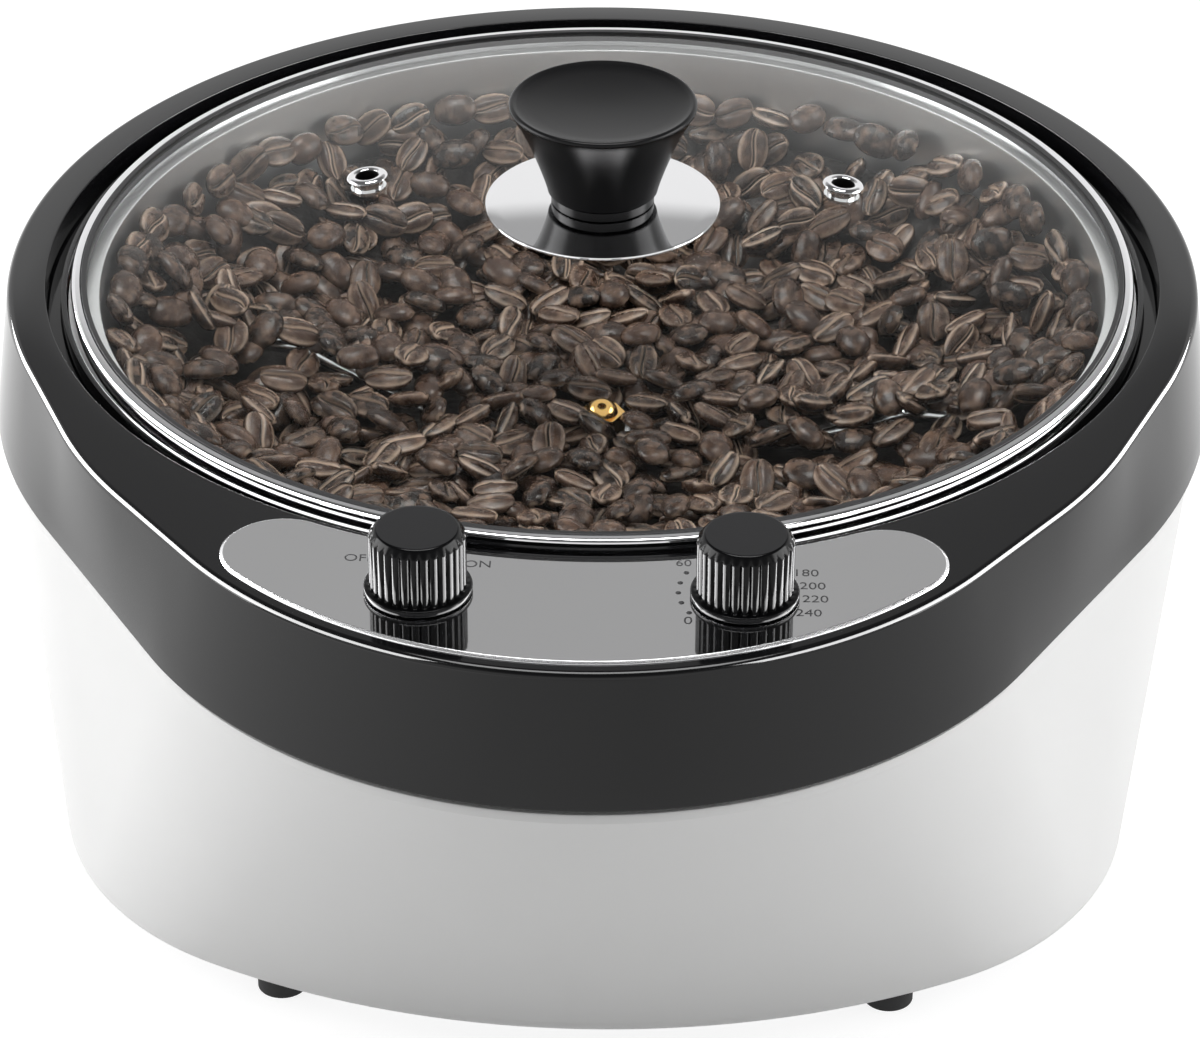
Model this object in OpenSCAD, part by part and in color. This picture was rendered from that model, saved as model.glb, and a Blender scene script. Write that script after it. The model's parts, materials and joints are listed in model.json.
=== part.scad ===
// Home coffee bean roaster: a round stirred pan under a lift-off glass lid, in a white base with a black
// egg-shaped top shell. Millimetres, +Z up, the front towards -Y, the origin on the table under the
// middle of the outline. The pan's axis stands a little behind the origin.

/* [Top shell] */
// Width of the shell's top face round the lid's recess
face_w = 10.5; // [8:0.1:16]
// Radius of the nose, over the controls
nose_r = 127; // [124:0.5:132]
// How far the nose stands out in front of the shell's round part
nose_reach = 39; // [35:0.5:43]
// Height of the shell's side band
band_h = 36.5; // [34:0.5:42]
// How far the band leans out from its top to its bottom
flare = 4.5; // [3:0.1:5.5]
// Thickness of the shell's side band and top face
shell_wall = 3; // [2:0.1:3.5]
// Rounding of the shell's top edge
shell_edge = 2; // [1:0.1:2.2]
// Depth of the lid's recess below the top face
recess_depth = 7.5; // [6.5:0.1:8.5]
// Thickness of the ledge that carries the pan
ledge_t = 3; // [2:0.1:4]
// Width of the gutter between the recess's edge and the locating ridge
gutter_w = 4; // [2:0.1:4.5]
// Width of the locating ridge round the lid
ridge_w = 1.5; // [1:0.1:2]
// Height of the locating ridge
ridge_h = 3.2; // [2:0.1:4]
// Radius of the screw posts under the shell
shell_post_r = 4.5; // [3:0.1:4.6]
// Angle of the first screw post from the pan's left-right line
post_angle = 45; // [40:1:50]

/* [Base] */
// Height of the rubber feet
foot_h = 7; // [6:0.5:12]
// Shadow gap between base and shell
seam_gap = 1.5; // [0.5:0.1:3]
// How far the base's sides draw in towards the bottom, from the shell's top outline
tuck_side = 16.5; // [13:0.5:20]
// How far the base's front draws in towards the bottom
tuck_front = 36; // [29:0.5:41]
// How far the base's back draws in towards the bottom
tuck_back = 17; // [10:0.5:20]
// Radius of the bowed front and back edges
bow_r = 210; // [190:1:260]
// Radius of the bottom outline's corners
base_corner = 85; // [75:0.5:95]
// Rounding of the bottom edge
base_edge = 4; // [2:0.5:5]
// Wall of the base
base_wall = 2.5; // [2:0.1:3]
// How far the base's side stands in from the shell's at the seam
seam_step = 2.4; // [1.8:0.1:3]
// How far the base's lip stands in from the shell's side
lip_step = 1.2; // [0.5:0.1:1.6]
// Height of the base's lip
lip_h = 3; // [2:0.1:5]
// Height of the tongue that enters the shell
tongue_h = 8; // [5:0.5:12]
// Thickness of the tongue
tongue_t = 2.2; // [1.6:0.1:2.6]
// Width of the floor ring inside the base
floor_ring = 36; // [34:0.5:40]
// Thickness of the floor ring
floor_t = 2.5; // [2:0.1:4]
// Thickness of the bottom plate
plate_t = 2; // [1.5:0.1:3]
// Radius of a rubber foot
foot_r = 6.5; // [5:0.5:9]
// How far the feet stand in from the bottom's sides
foot_in_side = 64.5; // [58:0.5:73]
// How far the front feet stand in from the bottom's front
foot_in_front = 28; // [26:0.5:43]
// How far the rear feet stand in from the bottom's back
foot_in_back = 31; // [25:0.5:43]
// Length of a cooling slot in the bottom plate
slot_l = 40; // [30:1:44]
// Width of a cooling slot
slot_w = 3; // [2:0.5:5]
// Distance between cooling slots
slot_pitch = 11; // [8:0.5:14]

/* [Pan] */
// Width of the pan's flange
flange_w = 8.6; // [8.1:0.1:13]
// Depth of the pan from the flange to the floor
pan_depth = 65.5; // [60:0.5:68]
// Wall of the pan
pan_wall = 2; // [1.5:0.1:2.4]
// How much narrower the pan is at its floor
pan_draft = 4; // [2:0.5:6]
// Fillet between the pan's floor and wall
pan_fillet = 14; // [8:0.5:18]
// Thickness of the pan's floor
pan_floor_t = 2.5; // [2:0.1:4]
// Thickness of the pan's flange
flange_t = 1.5; // [1.2:0.1:2]
// Thickness of the gasket under the flange
gasket_t = 1; // [0.6:0.1:1.4]
// Outer radius of the shaft tube in the pan
tube_r = 10; // [9:0.1:10.5]
// Height of the shaft tube above the pan's floor
tube_h = 10; // [6:0.5:12]
// How far the shaft tube reaches below the pan
tube_drop = 7.5; // [6:0.5:7.8]

/* [Heater] */
// Radius of the heater's ring
heater_r = 90; // [82:0.5:100]
// Radius of the heater's tube
heater_tube_r = 4; // [3:0.1:4.5]
// Gap at the ring's open end, in degrees
heater_gap = 24; // [18:1:40]
// Gap between the heat shield and the base's screw posts
shield_gap = 0.6; // [0.3:0.1:1]
// Thickness of the heat shield
shield_t = 1.2; // [0.8:0.1:1.5]
// Gap between the heat shield's top and the ledge that carries the pan
shield_top_gap = 13; // [7:0.5:27]
// Distance of the shield's floor below the pan
shield_drop = 14.5; // [13.5:0.5:16]
// Radius of the circle of stand-offs
standoff_ring = 60; // [55:0.5:70]
// Radius of a stand-off
standoff_r = 5; // [4:0.5:6]
// Length of the heater's cold ends below its ring
heater_leg = 18; // [16:0.5:22]
// Length of a terminal pin at the heater's ends
pin_l = 8; // [5:0.5:12]
// Radius of a terminal pin
pin_r = 1.5; // [1:0.1:2]
// Length of a heater clip round the pan
clip_w = 10; // [6:0.5:14]
// How far a heater clip reaches beside the tube
clip_out = 4; // [3:0.5:6]
// Radius of the temperature probe and of the thermal fuse
probe_r = 2.5; // [2:0.1:3.5]
// Distance of the probe and of the fuse from the pan's axis
probe_out = 40; // [34:1:44]
// Length of the temperature probe
probe_l = 38; // [30:1:46]
// Length of the thermal fuse
fuse_l = 26; // [24:1:34]
// Width of a sensor clip
sensor_clip_w = 6; // [4:0.5:8]

/* [Drive] */
// Radius of the stirrer's shaft
shaft_r = 4; // [3:0.1:5]
// Gap between the motor and the bottom plate
motor_gap = 6; // [3:0.5:12]
// Distance of the motor's bracket below the shield
bracket_drop = 12; // [11:0.5:14]
// Thickness of the motor's bracket
bracket_t = 2; // [1.5:0.1:3]
// Radius of the motor's bracket
bracket_r = 68; // [67:0.5:80]
// Radius of the motor
motor_r = 30; // [25:0.5:32]
// Height of the motor with its gears
motor_h = 26; // [22:0.5:32]
// Thickness of the motor's screw lugs
lug_t = 4; // [2.5:0.5:6]
// Radius of the motor's output shaft
motor_shaft_r = 3.5; // [2.5:0.1:4]
// Outer radius of the coupling
coupling_r = 8; // [7:0.5:10]
// Outer radius of the shaft's bush
bush_r = 7; // [6.2:0.1:7.5]

/* [Stirrer] */
// Radius of the stirrer's hub
hub_r = 14; // [13.5:0.1:18]
// Radius of a stirrer rod
rod_r = 2; // [1.5:0.1:3]
// Gap between a rod's end and the pan's rim radius
rod_in = 14; // [12:0.5:25]
// Height of the rods' arch above the pan's floor
rod_arch = 33; // [25:0.5:35]
// Height of a blade
blade_h = 12; // [8:0.5:16]
// Thickness of a blade
blade_t = 2; // [1.2:0.1:3]
// Distance of the blades' inner ends from the axis
blade_start = 37; // [30:1:60]
// Pitch of a blade, in degrees
blade_pitch = 25; // [15:1:35]
// Turn of the stirrer at rest, seen from above
stirrer_turn = -10; // [-12:1:12]

/* [Lid] */
// Outer radius of the lid's steel rim
lid_r = 142.8; // [141.5:0.1:143.6]
// Visible width of the steel rim
rim_w = 2.7; // [2:0.1:4]
// Height of the steel rim
rim_h = 6; // [5.6:0.1:8]
// Thickness of the steel sheet
rim_t = 0.8; // [0.5:0.1:1]
// Visible width of the dark seal inside the rim
lid_seal_w = 1.6; // [1:0.1:3]
// Thickness of the glass
glass_t = 3.5; // [3:0.1:3.6]
// Rise of the glass dome
dome_h = 18; // [12:0.5:24]
// Distance of a steam vent from the middle plane
vent_x = 64.7; // [50:0.5:80]
// Distance of the steam vents behind the axis
vent_y = 20; // [0:0.5:40]
// Radius of a vent's bore
vent_r = 1.7; // [1:0.1:1.9]
// Radius of the vent's chrome collar
vent_collar_r = 3.9; // [3.4:0.1:5]
// Radius of the steel disc under the lid's knob
disc_r = 31.5; // [25:0.5:40]
// Thickness of the steel disc
disc_t = 1.2; // [0.8:0.1:2]
// Top radius of the lid's knob
lid_knob_r = 25; // [20:0.5:30]
// Height of the lid's knob
lid_knob_h = 29; // [25:0.5:35]
// Radius of the lid knob's neck
lid_neck_r = 12.5; // [10:0.5:14]

/* [Controls] */
// Distance of each control from the middle plane
control_x = 39; // [34:0.5:44]
// Distance of the controls in front of the lid's recess
control_gap = 15.5; // [14.6:0.1:20]
// Radius of a control knob's flange
knob_flange_r = 13.1; // [12.5:0.1:14]
// Thickness of a control knob's flange
knob_flange_t = 1.6; // [1:0.1:2.4]
// Radius of a control knob's grip
knob_r = 11.7; // [11:0.1:12.3]
// Width and height of the bevel round a control knob's top
knob_bevel = 1.65; // [1:0.05:2.4]
// Height of a control knob
knob_h = 17.2; // [15:0.2:24]
// Ribs round a control knob
knob_ribs = 30; // [20:1:36]
// Radius of a control's spindle
spindle_r = 3; // [2:0.1:3.5]
// Width of the thermostat under the panel
thermostat_w = 34; // [28:1:40]
// Height of the thermostat
thermostat_h = 26; // [20:1:32]
// Width of the power switch under the panel
switch_w = 28; // [24:1:36]
// Height of the power switch
switch_h = 22; // [18:1:30]
// How far both reach in front of their spindles
control_out = 12; // [8:0.5:13]
// Thickness of the control panel
panel_t = 1.2; // [1:0.1:2]
// Depth of the panel's pocket
pocket_d = 0.8; // [0.4:0.1:0.9]
// Radius of the panel's front edge
panel_r = 118.7; // [116:0.1:121]
// Distance between the panel's front edge and the nose's
panel_in = 4.1; // [3:0.1:6]
// Margin between the panel and the lid's recess
panel_margin = 1; // [0.8:0.1:2]
// Radius of the panel's round ends
panel_end_r = 15; // [13:0.5:16]

/* [Cord entry] */
// Radius of the bore for the mains cord
cord_r = 3.6; // [3:0.1:4]
// Height of the cord entry above the table
cord_z = 32; // [28:0.5:36]
// Outer radius of the gland's sleeve
gland_r = 7; // [6:0.5:8]
// How far the gland's sleeve reaches into the base
gland_in = 14; // [11:0.5:18]
// Length of the gland's nose outside
gland_nose = 9; // [6:0.5:10]
// Thickness of the gland's flange
gland_flange_t = 3; // [2:0.5:4]
// How far the flange and the pad stand out from the sleeve
gland_flange_w = 3.5; // [2.5:0.5:4.5]
// Width of the terminal block
terminal_w = 36; // [30:1:44]
// Depth of the terminal block
terminal_d = 16; // [12:1:20]
// Height of the terminal block
terminal_h = 14; // [10:1:18]

/* [Fits] */
// Radial gap of a running fit
run_gap = 0.05; // [0.03:0.01:0.09]
// Radial gap of a piece pressed or screwed into another
press_gap = 0.05; // [0.02:0.01:0.1]
// Gap where pieces must not touch
free_gap = 0.4; // [0.3:0.1:0.6]
// Gap between the lid's rim and the locating ridge
lid_gap = 1.2; // [0.6:0.1:2]
// Gap between the pan and the shell's opening
pan_gap = 1.5; // [0.8:0.1:1.6]
// Radius of the screws' shanks
screw_r = 1.5; // [1.2:0.1:1.8]

/* [Hidden] */

arc_step = 5;  // degrees between an outline's points
slice = 0.01;  // height of a loft's thin slices
$fn = 96;

// Heights of the seats, from the table up through the drive and the pan to the shell's top, and back down
plate_top_z = foot_h + plate_t;
floor_top_z = plate_top_z + floor_t;
motor_z = plate_top_z + motor_gap;
bracket_z = motor_z + motor_h;
shield_z = bracket_z + bracket_t + bracket_drop;
pan_under_z = shield_z + shield_drop;
pan_floor_z = pan_under_z + pan_floor_t;
lid_z = pan_floor_z + pan_depth;
flange_z = lid_z - flange_t;
recess_z = flange_z - gasket_t;
top_z = recess_z + recess_depth;
ceiling_z = top_z - shell_wall;
band_z = top_z - band_h;
seam_z = band_z - seam_gap;
base_h = seam_z - foot_h;
tube_top_z = pan_floor_z + tube_h;
tube_low_z = pan_under_z - tube_drop;
tongue_z = seam_z + tongue_h;
panel_z = top_z - pocket_d;
panel_top_z = panel_z + panel_t;

// Rings of the lid's seat, from the lid outwards, and of the pan, inwards
ridge_r = lid_r + lid_gap;
recess_r = ridge_r + ridge_w + gutter_w;
shell_r = recess_r + face_w;
ledge_r = recess_r + shell_wall;
post_ring_r = recess_r + 0.5 - shell_post_r;
flange_r = ridge_r - free_gap;
pan_r = flange_r - flange_w;
opening_r = pan_r + pan_wall + pan_gap;

// The nose in front of the pan; the pan's axis lies behind the middle of the outline
nose_out = shell_r + nose_reach - nose_r;
pan_y = nose_reach / 2;
lean = asin((shell_r - nose_r) / nose_out);
panel_front = shell_r + nose_reach - panel_in;
control_y = recess_r + control_gap;

// How far the tapered band's outline stands in from shell_r at height z, and the tongue inside it
function band_in(z) = flare * (z - band_z) / (band_h - shell_edge) - flare;
tongue_in = band_in(tongue_z) + shell_wall + free_gap;
tongue_low_z = seam_z - 2.2;
loft_in = seam_step - flare;

// Corners of the base's bottom outline
base_w = 2 * (shell_r - tuck_side);
base_front = shell_r + nose_reach - tuck_front;
base_back = shell_r - tuck_back;
corner_x = base_w / 2 - base_corner;
bow_lean = asin(corner_x / (bow_r - base_corner));
corner_reach = (bow_r - base_corner) * cos(bow_lean);
skirt_in = base_edge + 3;
foot_x = base_w / 2 - foot_in_side;
foot_front = base_front - foot_in_front;
foot_back = base_back - foot_in_back;
plate_screw_x = base_w / 2 - 25;
plate_screw_y = 55;
plate_screw_l = 10;

// Bore and washer sizes that follow the screws
screw_hole_r = screw_r + 0.3;
head_r = 2 * screw_r;
head_h = 2;
base_post_r = shell_post_r + 0.4;
shield_r = post_ring_r - base_post_r - shield_gap;
shield_h = recess_z - ledge_t - shield_top_gap - shield_z;
post_seat = 6;  // how far below the seam the base's posts hold the screw heads
shell_screw_l = 22;

// The dome's sphere runs from the glass's edge to the crown
glass_r = lid_r - rim_t - 0.5;
glass_seat_z = lid_z + rim_h - rim_t - 0.45;
dome_r = (glass_r * glass_r + dome_h * dome_h) / (2 * dome_h);
crown_z = glass_seat_z + dome_h;
dome_z = crown_z - dome_r;
disc_z = crown_z + 0.1;
knob_z = disc_z + disc_t + 0.1;
dish = 2;  // depth of the hollow in the lid knob's top

// Drive stack on the pan's axis
bush_flange_t = 1.5;
seal_t = 1.5;
seal_z = tube_top_z + bush_flange_t;
hub_z = pan_floor_z + 5;
hub_cavity_r = tube_r + 1;
hub_cavity_z = seal_z + seal_t + 0.5;
hub_top_z = hub_cavity_z + 4.5;
nut_h = 5;
nut_dome_r = 3.4;
shaft_low_z = shield_z - 2;
coupling_low_z = bracket_z + bracket_t + 3;
coupling_top_z = tube_low_z - 1;
motor_shaft_top_z = shaft_low_z - 0.5;
standoff_turn = 90;

// Controls under the panel
bushing_r = spindle_r + 1.8;
panel_nut_r = bushing_r + 2.2;
panel_nut_h = 2;
groove_r = 0.7;  // radius of the grooves between a knob's ribs
knob_low_z = panel_top_z + free_gap;
spindle_low_z = ceiling_z - 12;
spindle_top_z = knob_low_z + knob_h - 4;

// Stirrer rods and blades
rod_low_z = pan_floor_z + 8;
blade_low_z = pan_floor_z + 1.5;
rod_reach = pan_r - rod_in;
blade_l = rod_reach - blade_start;

// ---- Outlines and helpers ----

// Points of an arc about c; trim drops that many points at each end
function arc(c, r, a0, a1, trim = 0) =
    let (n = ceil(abs(a1 - a0) / arc_step))
    [for (i = [trim : n - trim]) c + r * [cos(a0 + (a1 - a0) * i / n), sin(a0 + (a1 - a0) * i / n)]];

// The shell's outline about the pan's axis, drawn in by inset
function shell_outline(inset) = concat(
    arc([0, 0], shell_r - inset, -lean, 180 + lean),
    arc([0, -nose_out], nose_r - inset, 180 + lean, 360 - lean));

// The base's bottom outline: bowed front and back, round corners, straight sides
function base_outline(inset) = concat(
    arc([corner_x, bow_r - base_front - corner_reach], base_corner - inset, bow_lean - 90, 0),
    arc([corner_x, base_back - bow_r + corner_reach], base_corner - inset, 0, 90 - bow_lean),
    arc([0, base_back - bow_r], bow_r - inset, 90 - bow_lean, 90 + bow_lean, 1),
    arc([-corner_x, base_back - bow_r + corner_reach], base_corner - inset, 90 + bow_lean, 180),
    arc([-corner_x, bow_r - base_front - corner_reach], base_corner - inset, 180, 270 - bow_lean),
    arc([0, bow_r - base_front], bow_r - inset, 270 - bow_lean, 270 + bow_lean, 1));

// How far the base's back stands behind the pan's axis at height z
function back_at(z) =
    base_back + (shell_r - loft_in - base_back) * (z - foot_h - base_edge) / (base_h - base_edge);

module at_pan() translate([0, pan_y, 0]) children();

module ring(r_out, r_in, z0, z1) translate([0, 0, z0]) difference() {
    cylinder(r = r_out, h = z1 - z0);
    translate([0, 0, -1]) cylinder(r = r_in, h = z1 - z0 + 2);
}

module slab(points, z0, z1) translate([0, 0, z0]) linear_extrude(z1 - z0) polygon(points);

module at_posts() for (x = [-1, 1], y = [-1, 1])
    translate(post_ring_r * [x * cos(post_angle), y * sin(post_angle), 0]) children();

module at_plate_screws() for (x = [-1, 1], y = [-1, 1])
    translate([x * plate_screw_x, y * plate_screw_y, 0]) children();

module at_feet() for (x = [-1, 1], y = [-foot_front, foot_back])
    translate([x * foot_x, y, 0]) children();

module at_standoffs() for (i = [0:2]) rotate([0, 0, standoff_turn + 120 * i])
    translate([standoff_ring, 0, 0]) children();

module at_motor_screws() for (s = [-1, 1]) translate([s * (motor_r + 6), 0, 0]) children();

module at_controls() for (s = [-1, 1]) translate([s * control_x, -control_y, 0]) children();

// A screw with its head's underside at z = 0 and its shank up
module screw(length) {
    translate([0, 0, -head_h]) cylinder(r = head_r, h = head_h);
    cylinder(r = screw_r, h = length);
}

// ---- White base ----

// Solid loft from the bottom outline up to the shell's outline at the seam
module base_loft() hull() {
    for (a = [0:30:90]) translate([0, 0, foot_h + base_edge * (1 - cos(a))])
        linear_extrude(slice) polygon(base_outline(base_edge * (1 - sin(a))));
    translate([0, 0, seam_z - slice]) linear_extrude(slice) polygon(shell_outline(loft_in));
}

module base_cavity() hull() {
    translate([0, 0, floor_top_z]) linear_extrude(slice) polygon(base_outline(base_wall));
    translate([0, 0, seam_z]) linear_extrude(slice) polygon(shell_outline(loft_in + base_wall));
}

module cord_axis(y0, y1, r) translate([0, y0, cord_z]) rotate([-90, 0, 0]) cylinder(r = r, h = y1 - y0);

cord_pad_y = back_at(cord_z + gland_r + gland_flange_w) + 1;

module base_housing() color("white") at_pan() difference() {
    union() {
        difference() {
            union() {
                base_loft();
                slab(shell_outline(lip_step - flare), seam_z - lip_h, seam_z);
            }
            base_cavity();
            slab(base_outline(skirt_in), foot_h - 1, plate_top_z);
        }
        tongue();
        at_posts() translate([0, 0, floor_top_z - 1])
            cylinder(r = base_post_r, h = seam_z - floor_top_z + 1);
        at_plate_screws() translate([0, 0, floor_top_z - 1])
            cylinder(r = 2.6 * screw_r, h = plate_screw_l + 1);
        cord_axis(cord_pad_y - 8, cord_pad_y, gland_r + gland_flange_w + 1.5);
    }
    slab(base_outline(floor_ring), foot_h - 1, floor_top_z + 1);
    at_posts() translate([0, 0, foot_h]) cylinder(r = head_r + 0.2, h = seam_z - post_seat - foot_h);
    at_posts() translate([0, 0, foot_h]) cylinder(r = screw_hole_r, h = base_h + 1);
    at_plate_screws() translate([0, 0, foot_h]) cylinder(r = screw_r + press_gap, h = plate_screw_l + 2);
    cord_axis(cord_pad_y - 12, cord_pad_y + 1, gland_r + press_gap);
}

// The tongue that stands up inside the shell's band
module tongue() difference() {
    slab(shell_outline(tongue_in), tongue_low_z, tongue_z);
    slab(shell_outline(tongue_in + tongue_t), tongue_low_z - 1, tongue_z + 1);
}

module bottom_plate() color("gainsboro") at_pan() difference() {
    slab(base_outline(skirt_in + free_gap), foot_h, plate_top_z);
    for (side = [-1, 1], i = [-4:4])
        translate([side * (slot_l / 2 + 25) - slot_l / 2, i * slot_pitch - slot_w / 2, foot_h - 1])
            cube([slot_l, slot_w, plate_t + 2]);
    at_plate_screws() translate([0, 0, foot_h - 1]) cylinder(r = screw_hole_r, h = plate_t + 2);
}

module rubber_feet() color("#181818") at_pan() at_feet() cylinder(r = foot_r, h = foot_h);

module plate_screws() color("silver") at_pan() at_plate_screws() translate([0, 0, foot_h])
    screw(plate_screw_l);

// ---- Black top shell ----

module shell_solid() hull() {
    translate([0, 0, band_z]) linear_extrude(slice) polygon(shell_outline(-flare));
    for (a = [0:30:90]) translate([0, 0, top_z - shell_edge * (1 - sin(a)) - slice])
        linear_extrude(slice) polygon(shell_outline(shell_edge * (1 - cos(a))));
}

module shell_cavity() hull() {
    translate([0, 0, band_z - slice]) linear_extrude(slice) polygon(shell_outline(shell_wall - flare));
    translate([0, 0, ceiling_z - slice]) linear_extrude(slice) polygon(shell_outline(shell_wall));
}

// Crescent between the lid's recess and the nose, with round ends
module panel_shape() offset(r = panel_end_r) offset(delta = -panel_end_r) difference() {
    translate([0, panel_r - panel_front]) circle(r = panel_r, $fn = 180);
    circle(r = recess_r + panel_margin, $fn = 180);
}

module top_shell() color("#2b2b2b") at_pan() {
    difference() {
        union() {
            difference() {
                shell_solid();
                shell_cavity();
            }
            translate([0, 0, recess_z - ledge_t])
                cylinder(r = ledge_r, h = ceiling_z - recess_z + ledge_t + 1);
            difference() {
                slab(shell_outline(tongue_in - 1), tongue_z, tongue_z + 2.5);
                slab(shell_outline(tongue_in + tongue_t + 1), tongue_z - 1, tongue_z + 4);
            }
            at_posts() translate([0, 0, seam_z]) cylinder(r = shell_post_r, h = recess_z - seam_z - 1);
        }
        translate([0, 0, recess_z]) cylinder(r = recess_r, h = recess_depth + 1);
        translate([0, 0, seam_z]) cylinder(r = opening_r, h = top_z);
        translate([0, 0, panel_z]) linear_extrude(panel_t) offset(delta = press_gap) panel_shape();
        at_controls() translate([0, 0, ceiling_z - 1])
            cylinder(r = bushing_r + press_gap, h = shell_wall + 2);
        at_posts() translate([0, 0, seam_z - 1])
            cylinder(r = screw_r + press_gap, h = shell_screw_l - post_seat + 3);
    }
    ring(ridge_r + ridge_w, ridge_r, recess_z, recess_z + ridge_h);
}

module shell_screws() color("silver") at_pan() at_posts() translate([0, 0, seam_z - post_seat])
    screw(shell_screw_l);

module control_panel() color("#a8a8a8") at_pan() difference() {
    translate([0, 0, panel_z]) linear_extrude(panel_t) panel_shape();
    at_controls() translate([0, 0, panel_z - 1]) cylinder(r = bushing_r + press_gap, h = panel_t + 2);
}

// ---- Pan and heater ----

pan_floor_r = pan_r - pan_draft - pan_fillet;

module roasting_pan() color("#8d8d8d") at_pan() rotate_extrude() polygon(concat(
    [[bush_r, tube_low_z], [tube_r, tube_low_z], [tube_r, pan_under_z]],
    arc([pan_floor_r, pan_floor_z + pan_fillet], pan_fillet + pan_floor_t, -90, 0),
    [[pan_r + pan_wall, flange_z], [flange_r, flange_z], [flange_r, lid_z], [pan_r, lid_z]],
    arc([pan_floor_r, pan_floor_z + pan_fillet], pan_fillet, 0, -90),
    [[tube_r, pan_floor_z], [tube_r, tube_top_z], [bush_r, tube_top_z]]));

module pan_gasket() color("#3a2a22") at_pan() ring(flange_r, opening_r + 0.2, recess_z, flange_z);

module shaft_bush() color("#b08d57") at_pan() difference() {
    union() {
        translate([0, 0, tube_low_z]) cylinder(r = bush_r - press_gap, h = tube_top_z - tube_low_z);
        translate([0, 0, tube_top_z]) cylinder(r = tube_r - 1, h = bush_flange_t);
    }
    translate([0, 0, tube_low_z - 1]) cylinder(r = shaft_r + run_gap, h = tube_top_z - tube_low_z + 4);
}

module shaft_seal() color("#a03828") at_pan()
    ring(tube_r - 1.5, shaft_r + run_gap, seal_z, seal_z + seal_t);

heater_z = pan_under_z - heater_tube_r - 0.3;
hug_gap = 0.15;  // gap of a clip round what it holds
clip_t = 1.5;    // sheet under the heater and the sensors
clip_half = heater_tube_r + clip_out;
clip_low_z = heater_z - heater_tube_r - clip_t;

module heating_element() color("#5b5b5f") at_pan() rotate([0, 0, 90 + heater_gap / 2]) {
    translate([0, 0, heater_z]) rotate_extrude(angle = 360 - heater_gap)
        translate([heater_r, 0]) circle(r = heater_tube_r, $fn = 48);
    for (a = [0, -heater_gap]) rotate([0, 0, a]) translate([heater_r, 0, heater_z]) {
        sphere(r = heater_tube_r + 0.25, $fn = 48);
        translate([0, 0, -heater_leg]) cylinder(r = heater_tube_r - 0.5, h = heater_leg);
        translate([0, 0, -heater_leg - pin_l]) cylinder(r = pin_r, h = pin_l + 1);
    }
}

module heater_clips() color("silver") at_pan() for (i = [0:3]) rotate([0, 0, 45 + 90 * i])
    translate([heater_r, 0, 0]) difference() {
        translate([-clip_half, -clip_w / 2, clip_low_z])
            cube([2 * clip_half, clip_w, pan_under_z - clip_low_z]);
        rotate([0, 0, 90]) translate([0, heater_r, heater_z]) rotate_extrude()
            translate([heater_r, 0]) circle(r = heater_tube_r + hug_gap, $fn = 48);
        translate([-heater_tube_r - hug_gap, -clip_w, heater_z])
            cube([2 * (heater_tube_r + hug_gap), 2 * clip_w, pan_under_z - heater_z + 1]);
    }

probe_z = pan_under_z - probe_r - 0.3;
sensor_half = probe_r + clip_out - 0.5;
sensor_hug_r = probe_r + hug_gap;

module sensor(s, length) translate([-length / 2, s * probe_out, probe_z])
    rotate([0, 90, 0]) cylinder(r = probe_r, h = length);

module heat_probe() color("#c9a24a") at_pan() sensor(-1, probe_l);

module thermal_fuse() color("#d8d2c0") at_pan() sensor(1, fuse_l);

module sensor_clips() color("silver") at_pan() for (s = [-1, 1], side = [-1, 1])
    translate([side * sensor_clip_w - sensor_clip_w / 2, s * probe_out, 0]) difference() {
        translate([0, -sensor_half, pan_under_z - 2 * probe_r - clip_t])
            cube([sensor_clip_w, 2 * sensor_half, 2 * probe_r + clip_t]);
        translate([-1, 0, probe_z]) rotate([0, 90, 0])
            cylinder(r = sensor_hug_r, h = sensor_clip_w + 2);
        translate([-1, -sensor_hug_r, probe_z])
            cube([sensor_clip_w + 2, 2 * sensor_hug_r, pan_under_z - probe_z + 1]);
    }

module heat_shield() color("#c4c6c8") at_pan() difference() {
    translate([0, 0, shield_z]) cylinder(r = shield_r, h = shield_h);
    translate([0, 0, shield_z + shield_t]) cylinder(r = shield_r - shield_t, h = shield_h);
    translate([0, 0, shield_z - 1]) cylinder(r = coupling_r + 4, h = shield_t + 2);
    at_standoffs() translate([0, 0, shield_z - 1]) cylinder(r = screw_hole_r, h = shield_t + 2);
    for (s = [-1, 1]) rotate([0, 0, 90 + s * heater_gap / 2]) translate([heater_r, 0, shield_z - 1])
        cylinder(r = heater_tube_r + 2, h = shield_t + 2);
}

module standoffs(z0, z1) at_pan() at_standoffs() ring(standoff_r, screw_hole_r, z0, z1);

module shield_standoffs() color("silver") standoffs(shield_z + shield_t, pan_under_z);

module bracket_standoffs() color("silver") standoffs(bracket_z + bracket_t, shield_z);

module stack_screws() color("silver") at_pan() at_standoffs() translate([0, 0, bracket_z])
    screw(pan_under_z - bracket_z - 1);

// ---- Drive ----

module motor_bracket() color("#b5b7ba") at_pan() difference() {
    translate([0, 0, bracket_z]) cylinder(r = bracket_r, h = bracket_t);
    translate([0, 0, bracket_z - 1]) cylinder(r = coupling_r + 1, h = bracket_t + 2);
    at_standoffs() translate([0, 0, bracket_z - 1]) cylinder(r = screw_hole_r, h = bracket_t + 2);
    at_motor_screws() translate([0, 0, bracket_z - 1]) cylinder(r = screw_hole_r, h = bracket_t + 2);
    for (i = [0:2]) rotate([0, 0, standoff_turn + 60 + 120 * i])
        translate([bracket_r - vent_in, 0, bracket_z - 1])
            cylinder(r = vent_in - 7, h = bracket_t + 2);
}

vent_in = 18;          // distance of the bracket's cooling holes from its edge
motor_floor_t = 4;     // solid end of the motor under its shaft
shaft_end_gap = 0.3;   // gap under the motor's shaft

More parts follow.
